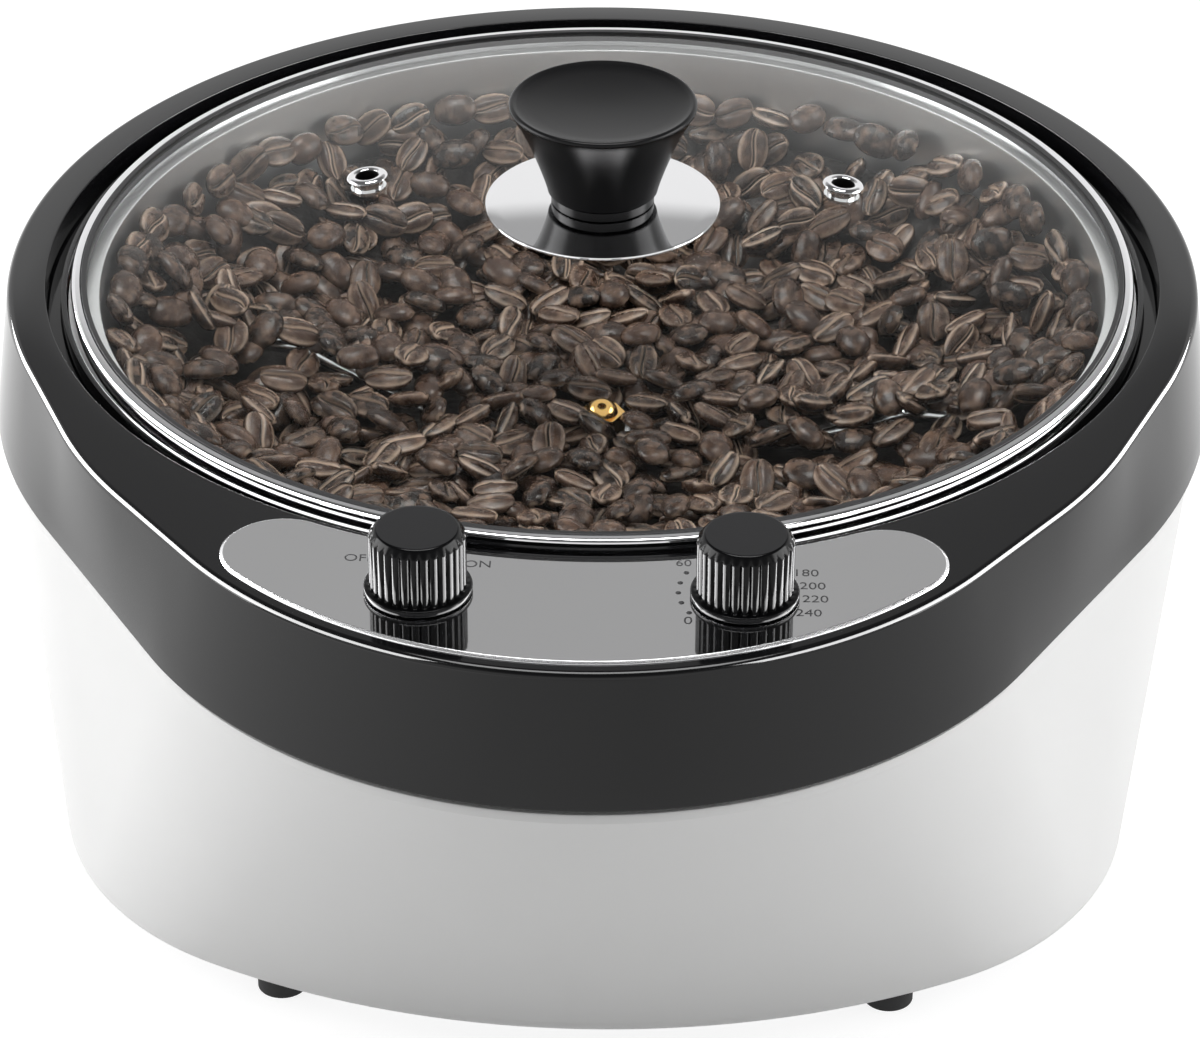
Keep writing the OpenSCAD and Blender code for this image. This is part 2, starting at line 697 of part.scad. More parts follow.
module drive_motor() color("#9a9ca0") at_pan() difference() {
    union() {
        translate([0, 0, motor_z]) cylinder(r = motor_r, h = motor_h);
        hull() at_motor_screws() translate([0, 0, bracket_z - lug_t])
            cylinder(r = 2.8 * screw_r, h = lug_t, $fn = 32);
        translate([0, 0, bracket_z]) cylinder(r = coupling_r, h = bracket_t + 1);
    }
    translate([0, 0, motor_z + motor_floor_t]) cylinder(r = motor_shaft_r + run_gap, h = 2 * motor_h);
    at_motor_screws() translate([0, 0, bracket_z - lug_t - 1])
        cylinder(r = screw_r + press_gap, h = lug_t + 2);
}

module motor_screws() color("silver") at_pan() at_motor_screws() translate([0, 0, bracket_z + bracket_t])
    mirror([0, 0, 1]) screw(bracket_t + lug_t - 1);

motor_shaft_low_z = motor_z + motor_floor_t + shaft_end_gap;

module motor_shaft() color("#d0d2d4") at_pan() translate([0, 0, motor_shaft_low_z])
    cylinder(r = motor_shaft_r, h = motor_shaft_top_z - motor_shaft_low_z);

module shaft_coupling() color("#8f9194") at_pan() difference() {
    translate([0, 0, coupling_low_z]) cylinder(r = coupling_r, h = coupling_top_z - coupling_low_z);
    translate([0, 0, coupling_low_z - 1])
        cylinder(r = motor_shaft_r + press_gap, h = shaft_low_z - coupling_low_z + 1);
    translate([0, 0, shaft_low_z]) cylinder(r = shaft_r + press_gap, h = coupling_top_z - shaft_low_z + 1);
}

module drive_shaft() color("#d0d2d4") at_pan() translate([0, 0, shaft_low_z])
    cylinder(r = shaft_r, h = hub_top_z + nut_h - 1 - shaft_low_z);

module terminal_block() color("ivory") at_pan()
    translate([-terminal_w / 2, base_back - floor_ring - terminal_d - 4, plate_top_z]) difference() {
        cube([terminal_w, terminal_d, terminal_h]);
        for (i = [0:2]) translate([(i + 0.5) * terminal_w / 3, terminal_d / 2, 0.4 * terminal_h])
            cylinder(r = terminal_w / 12, h = terminal_h);
    }

gland_out_y = cord_pad_y + gland_flange_t + gland_nose;

// The sleeve is wide inside the base, and the flange and the nose hold the cord
module cord_gland() color("#202020") at_pan() difference() {
    union() {
        cord_axis(cord_pad_y - gland_in, cord_pad_y, gland_r);
        cord_axis(cord_pad_y, cord_pad_y + gland_flange_t, gland_r + gland_flange_w);
        cord_axis(cord_pad_y, gland_out_y, gland_r - 1);
    }
    cord_axis(cord_pad_y - gland_in - 1, gland_out_y + 1, cord_r);
    cord_axis(cord_pad_y - gland_in - 1, cord_pad_y + 1, cord_r + 1.5);
}

// ---- Stirrer ----

module turned() at_pan() rotate([0, 0, stirrer_turn]) children();

module stirrer_hub() color("#c8cacc") at_pan() difference() {
    translate([0, 0, hub_z]) cylinder(r = hub_r, h = hub_top_z - hub_z);
    translate([0, 0, hub_z - 1]) cylinder(r = hub_cavity_r, h = hub_cavity_z - hub_z + 1);
    translate([0, 0, hub_z]) cylinder(r = shaft_r + press_gap, h = hub_top_z);
    for (s = [0, 180]) rotate([0, 0, stirrer_turn + s]) rod(rod_r + press_gap);
}

// Straight runs of rod in the XZ plane, with a bead at every bend
module rod(r = rod_r) for (i = [0 : len(rod_path) - 2]) {
    run = rod_path[i + 1] - rod_path[i];
    translate([rod_path[i][0], 0, rod_path[i][1]]) rotate([0, atan2(run[0], run[1]), 0]) {
        cylinder(r = r, h = norm(run), $fn = 32);
        if (i > 0) sphere(r = r + 0.2, $fn = 32);
    }
}

// The rod leaves the hub, arches up through the beans and comes down at the wall onto the blade
rod_path = [[hub_r - 0.5, rod_low_z + 2], [0.28 * rod_reach, rod_low_z + 2],
            [0.7 * rod_reach, pan_floor_z + rod_arch], [0.88 * rod_reach, pan_floor_z + rod_arch],
            [rod_reach, pan_floor_z + 0.6 * rod_arch], [rod_reach, blade_low_z + rod_r]];

module stirrer_rods() color("#d6d8da") turned() for (s = [0, 180]) rotate([0, 0, s]) rod();

module stirrer_blades() color("#c8cacc") turned() for (s = [0, 180]) rotate([0, 0, s]) difference() {
    translate([rod_reach - blade_l, 0, blade_low_z]) rotate([blade_pitch, 0, 0])
        translate([0, -blade_t / 2, 0.5 * blade_t]) cube([blade_l - rod_r - 0.02, blade_t, blade_h]);
    translate([0, -blade_h, blade_low_z - blade_h]) cube([rod_reach + blade_h, 2 * blade_h, blade_h]);
    rod();
}

module hub_nut() color("#c9a24a") at_pan() difference() {
    union() {
        translate([0, 0, hub_top_z]) cylinder(r = 6.4, h = nut_h, $fn = 6);
        intersection() {
            translate([0, 0, hub_top_z + nut_h - 1]) sphere(r = nut_dome_r + 1.2);
            translate([0, 0, hub_top_z + 1]) cylinder(r = 5, h = 12);
        }
    }
    translate([0, 0, hub_top_z - 1]) cylinder(r = shaft_r + press_gap, h = nut_h + 0.3);
}

// ---- Controls ----

module control_body(w, h) translate([0, 0, ceiling_z]) difference() {
    union() {
        translate([-w / 2, -control_out, -h])
            cube([w, control_out + control_y - ledge_r - free_gap, h]);
        cylinder(r = bushing_r, h = panel_top_z + panel_nut_h - ceiling_z);
    }
    translate([0, 0, spindle_low_z - ceiling_z - shaft_end_gap])
        cylinder(r = spindle_r + run_gap, h = spindle_top_z - spindle_low_z);
}

module thermostat() color("#d9d4c4") at_pan() translate([control_x, -control_y, 0]) 
    control_body(thermostat_w, thermostat_h);

module power_switch() color("#26282c") at_pan() translate([-control_x, -control_y, 0])
    control_body(switch_w, switch_h);

module panel_nuts() color("silver") at_pan() at_controls() translate([0, 0, panel_top_z]) difference() {
    cylinder(r = panel_nut_r, h = panel_nut_h, $fn = 6);
    translate([0, 0, -1]) cylinder(r = bushing_r + press_gap, h = panel_nut_h + 2);
}

module control_knob() translate([0, 0, knob_low_z]) difference() {
    union() {
        cylinder(r = knob_flange_r, h = knob_flange_t);
        cylinder(r = knob_r, h = knob_h - knob_bevel);
        translate([0, 0, knob_h - knob_bevel]) cylinder(r1 = knob_r, r2 = knob_r - knob_bevel, h = knob_bevel);
    }
    for (i = [0 : knob_ribs - 1]) rotate([0, 0, 360 * i / knob_ribs])
        translate([knob_r + 0.35, 0, knob_flange_t]) cylinder(r = groove_r, h = knob_h, $fn = 24);
    translate([0, 0, -1]) cylinder(r = panel_nut_r + 0.6, h = panel_nut_h + 2);
    translate([0, 0, -1]) cylinder(r = spindle_r + press_gap, h = spindle_top_z - knob_low_z + 1.3);
}

module spindle() translate([0, 0, spindle_low_z])
    cylinder(r = spindle_r, h = spindle_top_z - spindle_low_z);

module heat_knob() color("#161616") at_pan() translate([control_x, -control_y, 0]) control_knob();

module heat_spindle() color("silver") at_pan() translate([control_x, -control_y, 0]) spindle();

module power_knob() color("#161616") at_pan() translate([-control_x, -control_y, 0]) control_knob();

module power_spindle() color("silver") at_pan() translate([-control_x, -control_y, 0]) spindle();

// ---- Lid ----

// Half section of the domed glass, grown by g for the seal that holds it
module glass_section(g) intersection() {
    translate([0, dome_z]) difference() {
        circle(r = dome_r + g, $fn = 720);
        circle(r = dome_r - glass_t - g, $fn = 720);
    }
    translate([0, glass_seat_z - 10]) square([glass_r + g, dome_h + 20]);
}

// Places a piece on the dome, square to the glass, over the point x, y
module on_dome(x, y) translate([0, 0, dome_z]) rotate([0, 0, atan2(y, x)])
    rotate([0, asin(norm([x, y]) / dome_r), 0]) translate([0, 0, dome_r]) children();

module at_vents() for (s = [-1, 1]) on_dome(s * vent_x, vent_y) children();

module lid_glass() color("lightcyan", 0.35) at_pan() difference() {
    rotate_extrude() glass_section(0);
    translate([0, 0, dome_z]) cylinder(r = screw_r + 1, h = dome_r + 5);
    at_vents() translate([0, 0, -10]) cylinder(r = vent_r + 1, h = 20);
}

module lid_rim() color("#d8dadc") at_pan() rotate_extrude() difference() {
    polygon(concat([[lid_r - rim_w - 1, lid_z], [lid_r, lid_z]],
        arc([lid_r - 1.2, lid_z + rim_h - 1.2], 1.2, 0, 90),
        [[lid_r - rim_w, lid_z + rim_h], [lid_r - rim_w, lid_z + rim_h - rim_t],
         [lid_r - rim_t, lid_z + rim_h - rim_t], [lid_r - rim_t, lid_z + rim_t],
         [lid_r - rim_w - 1, lid_z + rim_t]]));
}

seal_in_r = lid_r - rim_w - lid_seal_w;

module lid_seal() color("#101010") at_pan() rotate_extrude() difference() {
    union() {
        translate([seal_in_r, lid_z + rim_t]) square([lid_r - rim_t - seal_in_r, rim_h - 2 * rim_t]);
        translate([seal_in_r, lid_z + rim_h - rim_t - 1]) square([lid_seal_w - 0.05, 1.2 + rim_t]);
    }
    glass_section(0);
}

module knob_disc() color("#e2e4e6") at_pan() difference() {
    rotate_extrude() intersection() {
        translate([0, dome_z + disc_z - crown_z]) difference() {
            circle(r = dome_r + disc_t, $fn = 720);
            circle(r = dome_r, $fn = 720);
        }
        translate([0, crown_z - 10]) square([disc_r, 20]);
    }
    translate([0, 0, crown_z - 5]) cylinder(r = screw_r + 0.5, h = 10);
}

module lid_knob() color("#1c1c1c") at_pan() difference() {
    translate([0, 0, knob_z]) rotate_extrude() polygon(concat(
        [[0, 0], [lid_neck_r, 0], [lid_neck_r, 5.5], [lid_neck_r + 2.3, 6]],
        [[lid_neck_r + 2.6, 7.2], [lid_neck_r + 3.6, 10]],
        [[0.5 * (lid_neck_r + 3.6 + lid_knob_r - 0.8), 0.5 * (lid_knob_h + 8)]],
        [[lid_knob_r - 0.8, lid_knob_h - 2.5]],
        arc([lid_knob_r - 1, lid_knob_h - 1], 1, 0, 90),
        [[lid_knob_r - 2.2, lid_knob_h - 0.5], [0.5 * lid_knob_r, lid_knob_h - 0.8 * dish]],
        [[0, lid_knob_h - dish]]));
    translate([0, 0, knob_z - 1]) cylinder(r = screw_r + press_gap, h = 15);
}

washer_z = crown_z - glass_t - 0.1 - 1.5;

module knob_washer() color("#a03828") at_pan() ring(8, screw_r + press_gap, washer_z, washer_z + 1.5);

module knob_screw() color("silver") at_pan() translate([0, 0, washer_z]) screw(knob_z - washer_z + 12);

module vent_collars() color("#dfe1e3") at_pan() at_vents() difference() {
    union() {
        translate([0, 0, -glass_t - 1]) cylinder(r = vent_r + 0.9, h = glass_t + 1.5);
        translate([0, 0, 0.05]) cylinder(r = vent_collar_r, h = 1);
        translate([0, 0, -glass_t - 1.1]) cylinder(r = vent_collar_r - 0.6, h = 1);
    }
    translate([0, 0, -10]) cylinder(r = vent_r, h = 20);
}

base_housing();
bottom_plate();
rubber_feet();
plate_screws();
top_shell();
shell_screws();
control_panel();
roasting_pan();
pan_gasket();
shaft_bush();
shaft_seal();
heating_element();
heater_clips();
heat_probe();
thermal_fuse();
sensor_clips();
heat_shield();
shield_standoffs();
bracket_standoffs();
stack_screws();
motor_bracket();
drive_motor();
motor_screws();
terminal_block();
cord_gland();
thermostat();
power_switch();
panel_nuts();
drive_shaft();
shaft_coupling();
motor_shaft();
stirrer_hub();
stirrer_rods();
stirrer_blades();
hub_nut();
heat_knob();
heat_spindle();
power_knob();
power_spindle();
lid_glass();
lid_rim();
lid_seal();
lid_knob();
knob_disc();
knob_screw();
knob_washer();
vent_collars();
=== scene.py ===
# %% [markdown]
# # A countertop coffee roaster with a glass lid
# The real roaster is a white tapered base, a glossy black top shell, a round metal pan full of beans,
# and a domed glass lid that lifts off by its knob. A CAD model already fixes every size and every
# moving joint, so this lesson never guesses a place: it loads that model as a frame and dresses it.
# One way would be to give the CAD pieces a colour each. Their facets would show in gloss, so the large
# visible pieces are built again here as fine, softly edged meshes, and the small ones are kept.

# %% Load the fixed frame
import json
import math
import bmesh
import bpy
import numpy as np
from mathutils import Matrix, Vector


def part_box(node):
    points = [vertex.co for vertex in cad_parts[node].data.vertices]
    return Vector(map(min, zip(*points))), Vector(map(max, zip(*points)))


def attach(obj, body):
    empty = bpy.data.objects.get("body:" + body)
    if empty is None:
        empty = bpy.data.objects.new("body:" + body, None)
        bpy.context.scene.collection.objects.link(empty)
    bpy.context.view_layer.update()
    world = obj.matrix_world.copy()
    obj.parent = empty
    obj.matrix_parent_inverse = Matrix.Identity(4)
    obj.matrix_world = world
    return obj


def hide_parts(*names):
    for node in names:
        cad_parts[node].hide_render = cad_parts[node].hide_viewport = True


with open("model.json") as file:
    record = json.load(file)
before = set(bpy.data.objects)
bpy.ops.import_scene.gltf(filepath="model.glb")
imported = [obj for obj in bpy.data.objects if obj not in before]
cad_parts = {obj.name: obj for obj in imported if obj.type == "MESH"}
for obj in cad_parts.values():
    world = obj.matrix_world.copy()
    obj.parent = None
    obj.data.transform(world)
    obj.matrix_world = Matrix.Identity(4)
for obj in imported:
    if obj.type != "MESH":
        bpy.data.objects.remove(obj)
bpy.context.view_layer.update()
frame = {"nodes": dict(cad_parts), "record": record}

# %% [markdown]
# ## One way of giving places
# The pan, the lid and most of the shell are round about one upright line, the pan's axis. If every
# point is given in millimetres from that line, the numbers are the ones a maker would read off a
# drawing. The frame's boxes give the line and the main sizes, so a change in the CAD is followed.

# %% The pan's axis and the main sizes, in millimetres
MM = 0.001
pan_low, pan_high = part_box("roasting_pan")
axis_x, axis_y = (pan_low.x + pan_high.x) / 2, (pan_low.y + pan_high.y) / 2


def place(x, y, z):
    """A point in millimetres about the pan's axis, as the frame's metres."""
    return (axis_x + x * MM, axis_y + y * MM, z * MM)


def heights(node):
    """Lowest and highest level of a CAD node, in millimetres."""
    low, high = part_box(node)
    return low.z / MM, high.z / MM


def reach(node):
    """Half the width of a CAD node, in millimetres."""
    low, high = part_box(node)
    return (high.x - low.x) / 2 / MM


lid_z, rim_top_z = heights("lid_rim")
tongue_h, seam_gap = 8.0, 1.5
band_z = heights("base_housing")[1] - (tongue_h - seam_gap)
shell_top_z = heights("top_shell")[1]
foot_h = heights("rubber_feet")[1]
lid_r = reach("lid_rim")
flare = 4.5
shell_r = reach("top_shell") - flare
print("lid plane", round(lid_z, 1), "shell top", round(shell_top_z, 1), "shell radius", round(shell_r, 1))

# %% [markdown]
# ## Meshes from profiles and rings
# Nearly every piece here is a set of rings joined by faces: a turned piece has round rings, and the
# shell and the base have egg-shaped ones. Blender's Screw or Spin tools could turn a profile, but
# rings joined by hand also serve the egg shapes, so one helper does both. A second helper rounds the
# corners of a profile, because a real edge always has a small radius and catches the light there.

# %% Helpers for rings and profiles
def lofted(rings, closed=True):
    """Points and faces of a skin over rings that all have the same number of points."""
    count = len(rings[0])
    points = [point for ring in rings for point in ring]
    faces = []
    for i in range(len(rings) if closed else len(rings) - 1):
        j = (i + 1) % len(rings)
        for k in range(count):
            l = (k + 1) % count
            faces.append((i * count + k, i * count + l, j * count + l, j * count + k))
    return points, faces


def turned(profile, turns=192, centre=(0, 0), closed=True):
    """Points and faces of a profile of (radius, height) turned about an upright line."""
    angles = [2 * math.pi * k / turns for k in range(turns)]
    rings = [[(centre[0] + r * math.cos(a), centre[1] + r * math.sin(a), z) for a in angles]
             for r, z in profile]
    return lofted(rings, closed)


def soften(profile, radius=0.3, steps=3):
    """A closed profile with every corner off the axis rounded."""
    result = []
    for i, corner in enumerate(profile):
        corner = Vector(corner)
        before, after = Vector(profile[i - 1]), Vector(profile[(i + 1) % len(profile)])
        if corner[0] < 1e-6:
            result.append(tuple(corner))
            continue
        cut = min(radius, 0.45 * (before - corner).length, 0.45 * (after - corner).length)
        start = corner + (before - corner).normalized() * cut
        end = corner + (after - corner).normalized() * cut
        for s in range(steps + 1):
            t = s / steps
            result.append(tuple((1 - t) ** 2 * start + 2 * t * (1 - t) * corner + t * t * end))
    return result


def arc(centre, radius, start, end, steps):
    """Points of an arc, in degrees, in a profile."""
    return [(centre[0] + radius * math.cos(math.radians(start + (end - start) * s / steps)),
             centre[1] + radius * math.sin(math.radians(start + (end - start) * s / steps)))
            for s in range(steps + 1)]


# %% [markdown]
# ## From a mesh to a piece of the roaster
# A piece needs four things besides its mesh: a finish, smooth shading that stays crisp at real
# edges, the body it moves with, and the CAD node it stands for. One helper does all four, so that no
# piece is forgotten. The camera, the lamps and the floor only need to be put in the scene.

# %% Helpers that make an object and a piece
def put_in_scene(name, data):
    """A new object that holds the data, linked to the scene."""
    holder = bpy.data.objects.new(name, data)
    bpy.context.scene.collection.objects.link(holder)
    return holder


def add_piece(name, skin, finishes, body, stands_for=(), crisp=38, parts=None):
    """A new object from points and faces. parts tells which finish a face takes, by its middle."""
    points, faces = skin
    mesh = bpy.data.meshes.new(name)
    mesh.from_pydata([place(*p) for p in points], [], faces)
    form = bmesh.new()
    form.from_mesh(mesh)
    bmesh.ops.remove_doubles(form, verts=form.verts, dist=0.002 * MM)
    bmesh.ops.recalc_face_normals(form, faces=form.faces)
    form.to_mesh(mesh)
    form.free()
    mesh.shade_smooth()
    mesh.set_sharp_from_angle(angle=math.radians(crisp))
    for finish in finishes:
        mesh.materials.append(finish)
    if parts:
        for face in mesh.polygons:
            face.material_index = parts(face.center / MM)
    piece = put_in_scene(name, mesh)
    piece.modifiers.new("even shading", "WEIGHTED_NORMAL").keep_sharp = True
    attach(piece, body)
    if stands_for:
        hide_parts(*stands_for)
    print(name, "has", len(mesh.polygons), "faces and rides on", body)
    return piece


# %% [markdown]
# ## Materials as sums
# A finish is easiest to read as a sum: a roughness is a base value plus a little noise. Blender
# builds such a sum from Math nodes. The small class below wraps one output of a node, and every
# plus, minus or times sign written on it adds the Math node, also when the number stands first.
# Colours and directions would lose their three channels in a Math node, so they are mixed by Mix.

# %% The class that turns signs into nodes
class Wire:
    """One value on its way through a material's nodes."""

    def __init__(self, finish, socket):
        self.finish, self.socket = finish, socket

    def worked(self, operation, first, second):
        return self.finish.node("Math", {"operation": operation}, {0: first, 1: second})

    def __add__(self, other):
        return self.worked("ADD", self, other)

    def __radd__(self, other):
        return self.worked("ADD", other, self)

    def __sub__(self, other):
        return self.worked("SUBTRACT", self, other)

    def __rsub__(self, other):
        return self.worked("SUBTRACT", other, self)

    def __mul__(self, other):
        return self.worked("MULTIPLY", self, other)

    def __rmul__(self, other):
        return self.worked("MULTIPLY", other, self)

    def at_least(self, other):
        return self.worked("MAXIMUM", self, other)

    def at_most(self, other):
        return self.worked("MINIMUM", self, other)

    def clipped(self):
        """The same value, held between 0 and 1."""
        return self.at_least(0.0).at_most(1.0)


# %% The class that holds one finish
class Finish:
    """The nodes of one material, or of the world."""

    def __init__(self, tree):
        self.tree = tree
        tree.nodes.clear()

    def node(self, kind, settings=None, sockets=None, out=0):
        """Any node: its type, its settings, then the values or wires of its sockets."""
        made = self.tree.nodes.new("ShaderNode" + kind)
        for key, value in (settings or {}).items():
            if key == "stops":
                ramp = made.color_ramp.elements
                while len(ramp) < len(value):
                    ramp.new(0.5)
                for stop, (position, colour) in zip(ramp, value):
                    stop.position, stop.color = position, (*colour, 1)
            else:
                setattr(made, key, value)
        for key, value in (sockets or {}).items():
            if isinstance(value, Wire):
                self.tree.links.new(value.socket, made.inputs[key])
            else:
                made.inputs[key].default_value = value
        return Wire(self, made.outputs[out]) if len(made.outputs) else None

    def spot(self, stretch=(1, 1, 1)):
        """Where a point of the surface lies on its object, stretched along each direction."""
        where = self.node("TexCoord", out="Object")
        return self.node("VectorMath", {"operation": "MULTIPLY"}, {0: where, 1: stretch})

    def noise(self, scale, detail=3, stretch=(1, 1, 1)):
        return self.node("TexNoise", None, {"Vector": self.spot(stretch), "Scale": scale, "Detail": detail})

    def mixed(self, amount, first, second):
        """A colour between two colours."""
        return self.node("Mix", {"data_type": "RGBA"}, {0: amount, 6: first, 7: second}, out=2)

    def bump(self, height, depth, strength=1):
        """A Normal from a height between 0 and 1, with its depth in millimetres."""
        return self.node("Bump", None, {"Strength": strength, "Distance": depth * MM, "Height": height})

    def surface(self, **sockets):
        """The main shader. A name such as Base_Color is the socket Base Color."""
        return self.node("BsdfPrincipled", None, {k.replace("_", " "): v for k, v in sockets.items()})

    def shown(self, shader):
        self.node("OutputMaterial", None, {"Surface": shader})


def new_finish(name):
    """A new material and the object that builds its nodes."""
    material = bpy.data.materials.new(name)
    material.use_nodes = True
    return material, Finish(material.node_tree)


def rgb(red, green, blue):
    return (red, green, blue, 1)


# %% [markdown]
# ## Plastics
# The base is a white moulding, the shell and the knobs are black ones. Real mouldings are never
# perfectly flat: the surface has a shallow unevenness of a millimetre or two, like orange peel,
# and the gloss varies where hands have touched it. A flat colour would look like paint on glass,
# so each plastic takes a slow noise for its gloss and colour, and a fine one for its surface.

# %% Plastics
def plastic(name, colour, roughness, peel=0.02, wear=0.06, specular=0.5):
    """A moulded plastic: peel is the depth of its unevenness in millimetres."""
    material, make = new_finish(name)
    slow = make.noise(14, 2)
    fine = make.noise(520, 3)
    dark = tuple(0.93 * c for c in colour)
    make.shown(make.surface(
        Base_Color=make.mixed(slow, rgb(*dark), rgb(*colour)),
        Roughness=slow * wear + (roughness - wear / 2),
        Specular_IOR_Level=specular,
        Normal=make.bump(fine, peel, 0.5)))
    return material


white_plastic = plastic("white_plastic", (0.86, 0.86, 0.855), 0.34, peel=0.015)
black_plastic = plastic("black_gloss_plastic", (0.004, 0.004, 0.0045), 0.08,
                        peel=0.002, wear=0.04, specular=0.38)
knob_plastic = plastic("knob_gloss_plastic", (0.003, 0.003, 0.0035), 0.15, peel=0.006, specular=0.17)
knob_face = plastic("knob_face_plastic", (0.010, 0.010, 0.011), 0.34, wear=0.05, specular=0.22)
lid_knob_plastic = plastic("lid_knob_plastic", (0.006, 0.006, 0.0065), 0.26, peel=0.008, specular=0.2)
dish_plastic = plastic("knob_dish_plastic", (0.006, 0.006, 0.0065), 0.26,
                       peel=0.01, wear=0.08, specular=0.14)
cream_plastic = plastic("cream_plastic", (0.75, 0.71, 0.60), 0.5, peel=0.03)
switch_plastic = plastic("switch_plastic", (0.05, 0.05, 0.06), 0.45, peel=0.03)
print("plastics ready")

# %% [markdown]
# ## Rubber, silicone and ceramic
# These are matt, with a dry, slightly grainy surface. The grain is what tells rubber from black
# plastic, so it is deeper here, and the roughness is high.

# %% Dry materials
def dry(name, colour, roughness=0.75, grain=0.06):
    """A matt material with a fine grain, its depth in millimetres."""
    material, make = new_finish(name)
    grains = make.noise(1400, 4)
    slow = make.noise(30, 2)
    pale = tuple(min(1, 1.25 * c + 0.01) for c in colour)
    make.shown(make.surface(
        Base_Color=make.mixed(slow * 0.6, rgb(*colour), rgb(*pale)),
        Roughness=grains * 0.1 + (roughness - 0.05),
        Normal=make.bump(grains, grain, 0.6)))
    return material


black_rubber = dry("black_rubber", (0.016, 0.016, 0.017), 0.7)
seal_rubber = dry("black_seal", (0.010, 0.010, 0.011), 0.42, grain=0.02)
red_silicone = dry("red_silicone", (0.35, 0.10, 0.06), 0.6)
ceramic = dry("ceramic", (0.83, 0.80, 0.72), 0.65, grain=0.03)
dial_ink = dry("dial_ink", (0.03, 0.03, 0.032), 0.6, grain=0.005)
print("dry materials ready")

# %% [markdown]
# ## Metals
# Steel, aluminium and brass share one recipe: a metal's colour is its reflection, and what makes it
# look like sheet, casting or polish is how rough it is and in which direction its fine lines run.
# Lines come from a noise that is squeezed along one direction. Polished pieces keep only a trace.

# %% Metals
def metal(name, colour, roughness, lines=(1, 1, 1), depth=0.004, fade=0.1, scale=300):
    """A metal; lines squeezes its noise to give the direction of brushing."""
    material, make = new_finish(name)
    brushed = make.noise(scale, 3, lines)
    slow = make.noise(22, 3)
    dull = tuple((1 - fade) * c for c in colour)
    make.shown(make.surface(
        Base_Color=make.mixed(slow, rgb(*dull), rgb(*colour)),
        Metallic=1.0,
        Roughness=(brushed * 0.5 + slow * 0.5) * (0.5 * roughness) + 0.75 * roughness,
        Normal=make.bump(brushed, depth, 0.4)))
    return material


steel_polished = metal("polished_steel", (0.80, 0.80, 0.81), 0.06, depth=0.001, fade=0.03)
disc_mirror = metal("mirror_steel", (0.82, 0.82, 0.83), 0.05, depth=0.001, fade=0.03)
chrome = metal("chrome", (0.82, 0.82, 0.83), 0.08, depth=0.001, fade=0.03)
plate_mirror = metal("grey_mirror_plate", (0.78, 0.78, 0.785), 0.05, (1, 12, 1),
                     depth=0.0006, fade=0.04, scale=60)
plate_edge = metal("bright_cut_edge", (0.80, 0.80, 0.81), 0.16, (40, 40, 1), depth=0.002, fade=0.05)
pan_metal = metal("satin_pan", (0.60, 0.60, 0.60), 0.34, (0.2, 0.2, 9), depth=0.01, fade=0.06)
# Painted shade: the vents' bore walls are painted near black, for the darkness inside the holes.
painted_shade_bore = metal("bore_painted_shade", (0.03, 0.03, 0.03), 0.5)
sheet_steel = metal("galvanised_sheet", (0.62, 0.63, 0.64), 0.38, depth=0.02, fade=0.25, scale=90)
screw_steel = metal("zinc_steel", (0.62, 0.62, 0.63), 0.28, (1, 1, 6))
stirrer_steel = metal("stainless_rod", (0.70, 0.71, 0.72), 0.2, (1, 1, 5))
brass = metal("polished_brass", (0.80, 0.50, 0.17), 0.14, fade=0.2)
bronze = metal("sintered_bronze", (0.60, 0.44, 0.24), 0.45, depth=0.03, fade=0.3, scale=700)
heater_steel = metal("dark_heater_tube", (0.20, 0.19, 0.19), 0.5, depth=0.01, fade=0.4)
shield_metal = metal("bright_aluminium", (0.75, 0.76, 0.77), 0.25, (1, 1, 8))
motor_can = metal("zinc_motor_can", (0.55, 0.56, 0.58), 0.35, (1, 1, 6), depth=0.01, fade=0.15)
print("metals ready")

# %% [markdown]
# ## Finishes for the pieces that stay as the CAD made them
# The drive, the heater, the screws and the wiring block are small or hidden, and their CAD shapes
# are right. Each only needs a finish that says what it is made of. The record of the part names a
# material slot for every node, so a table from slot to finish dresses them all at once.

# %% Dress the kept nodes
FINISH_OF_SLOT = {
    "plate_steel": sheet_steel, "rubber_black": black_rubber, "screw_steel": screw_steel,
    "silicone_brown": red_silicone, "bronze": bronze, "heater_steel": heater_steel,
    "ceramic_white": ceramic, "shield_aluminium": shield_metal, "motor_can": motor_can,
    "thermostat_body": cream_plastic, "switch_body": switch_plastic, "stirrer_steel": stirrer_steel,
    "brass": brass}
kept = 0
for part in frame["record"]["subparts"]:
    if part["material_slot"] in FINISH_OF_SLOT:
        for holder in frame["nodes"][part["node"]].material_slots:
            holder.material = FINISH_OF_SLOT[part["material_slot"]]
        kept += 1
print("CAD nodes dressed:", kept)

# %% [markdown]
# ## The camera
# The picture was taken from the front, about 32 degrees above the table, with a long lens, which
# keeps the round lid nearly a true ellipse. A camera fitted to the lid's rim and the recess gives
# its place, in metres. It is made first, so that every later piece can be looked at.

# %% Camera
CAMERA_PLACE, CAMERA_TARGET, CAMERA_ROLL = (0.0305, -1.0456, 0.7281), (-0.0004, 0.0195, 0.0604), 0.2


def look_at(thing, target, roll=0.0):
    """Turns a camera or lamp towards a point; roll is in degrees."""
    back = (thing.location - Vector(target)).normalized()
    thing.rotation_euler = (back.to_track_quat("Z", "Y").to_matrix().to_4x4()
                            @ Matrix.Rotation(math.radians(roll), 4, "Z")).to_euler()


lens = bpy.data.cameras.new("long_lens")
lens.lens, lens.sensor_width = 135, 36
camera = put_in_scene("camera", lens)
camera.location = CAMERA_PLACE
look_at(camera, CAMERA_TARGET, CAMERA_ROLL)
bpy.context.scene.camera = camera
bpy.context.scene.view_settings.view_transform = "Standard"
print("camera at", [round(c, 3) for c in camera.location])

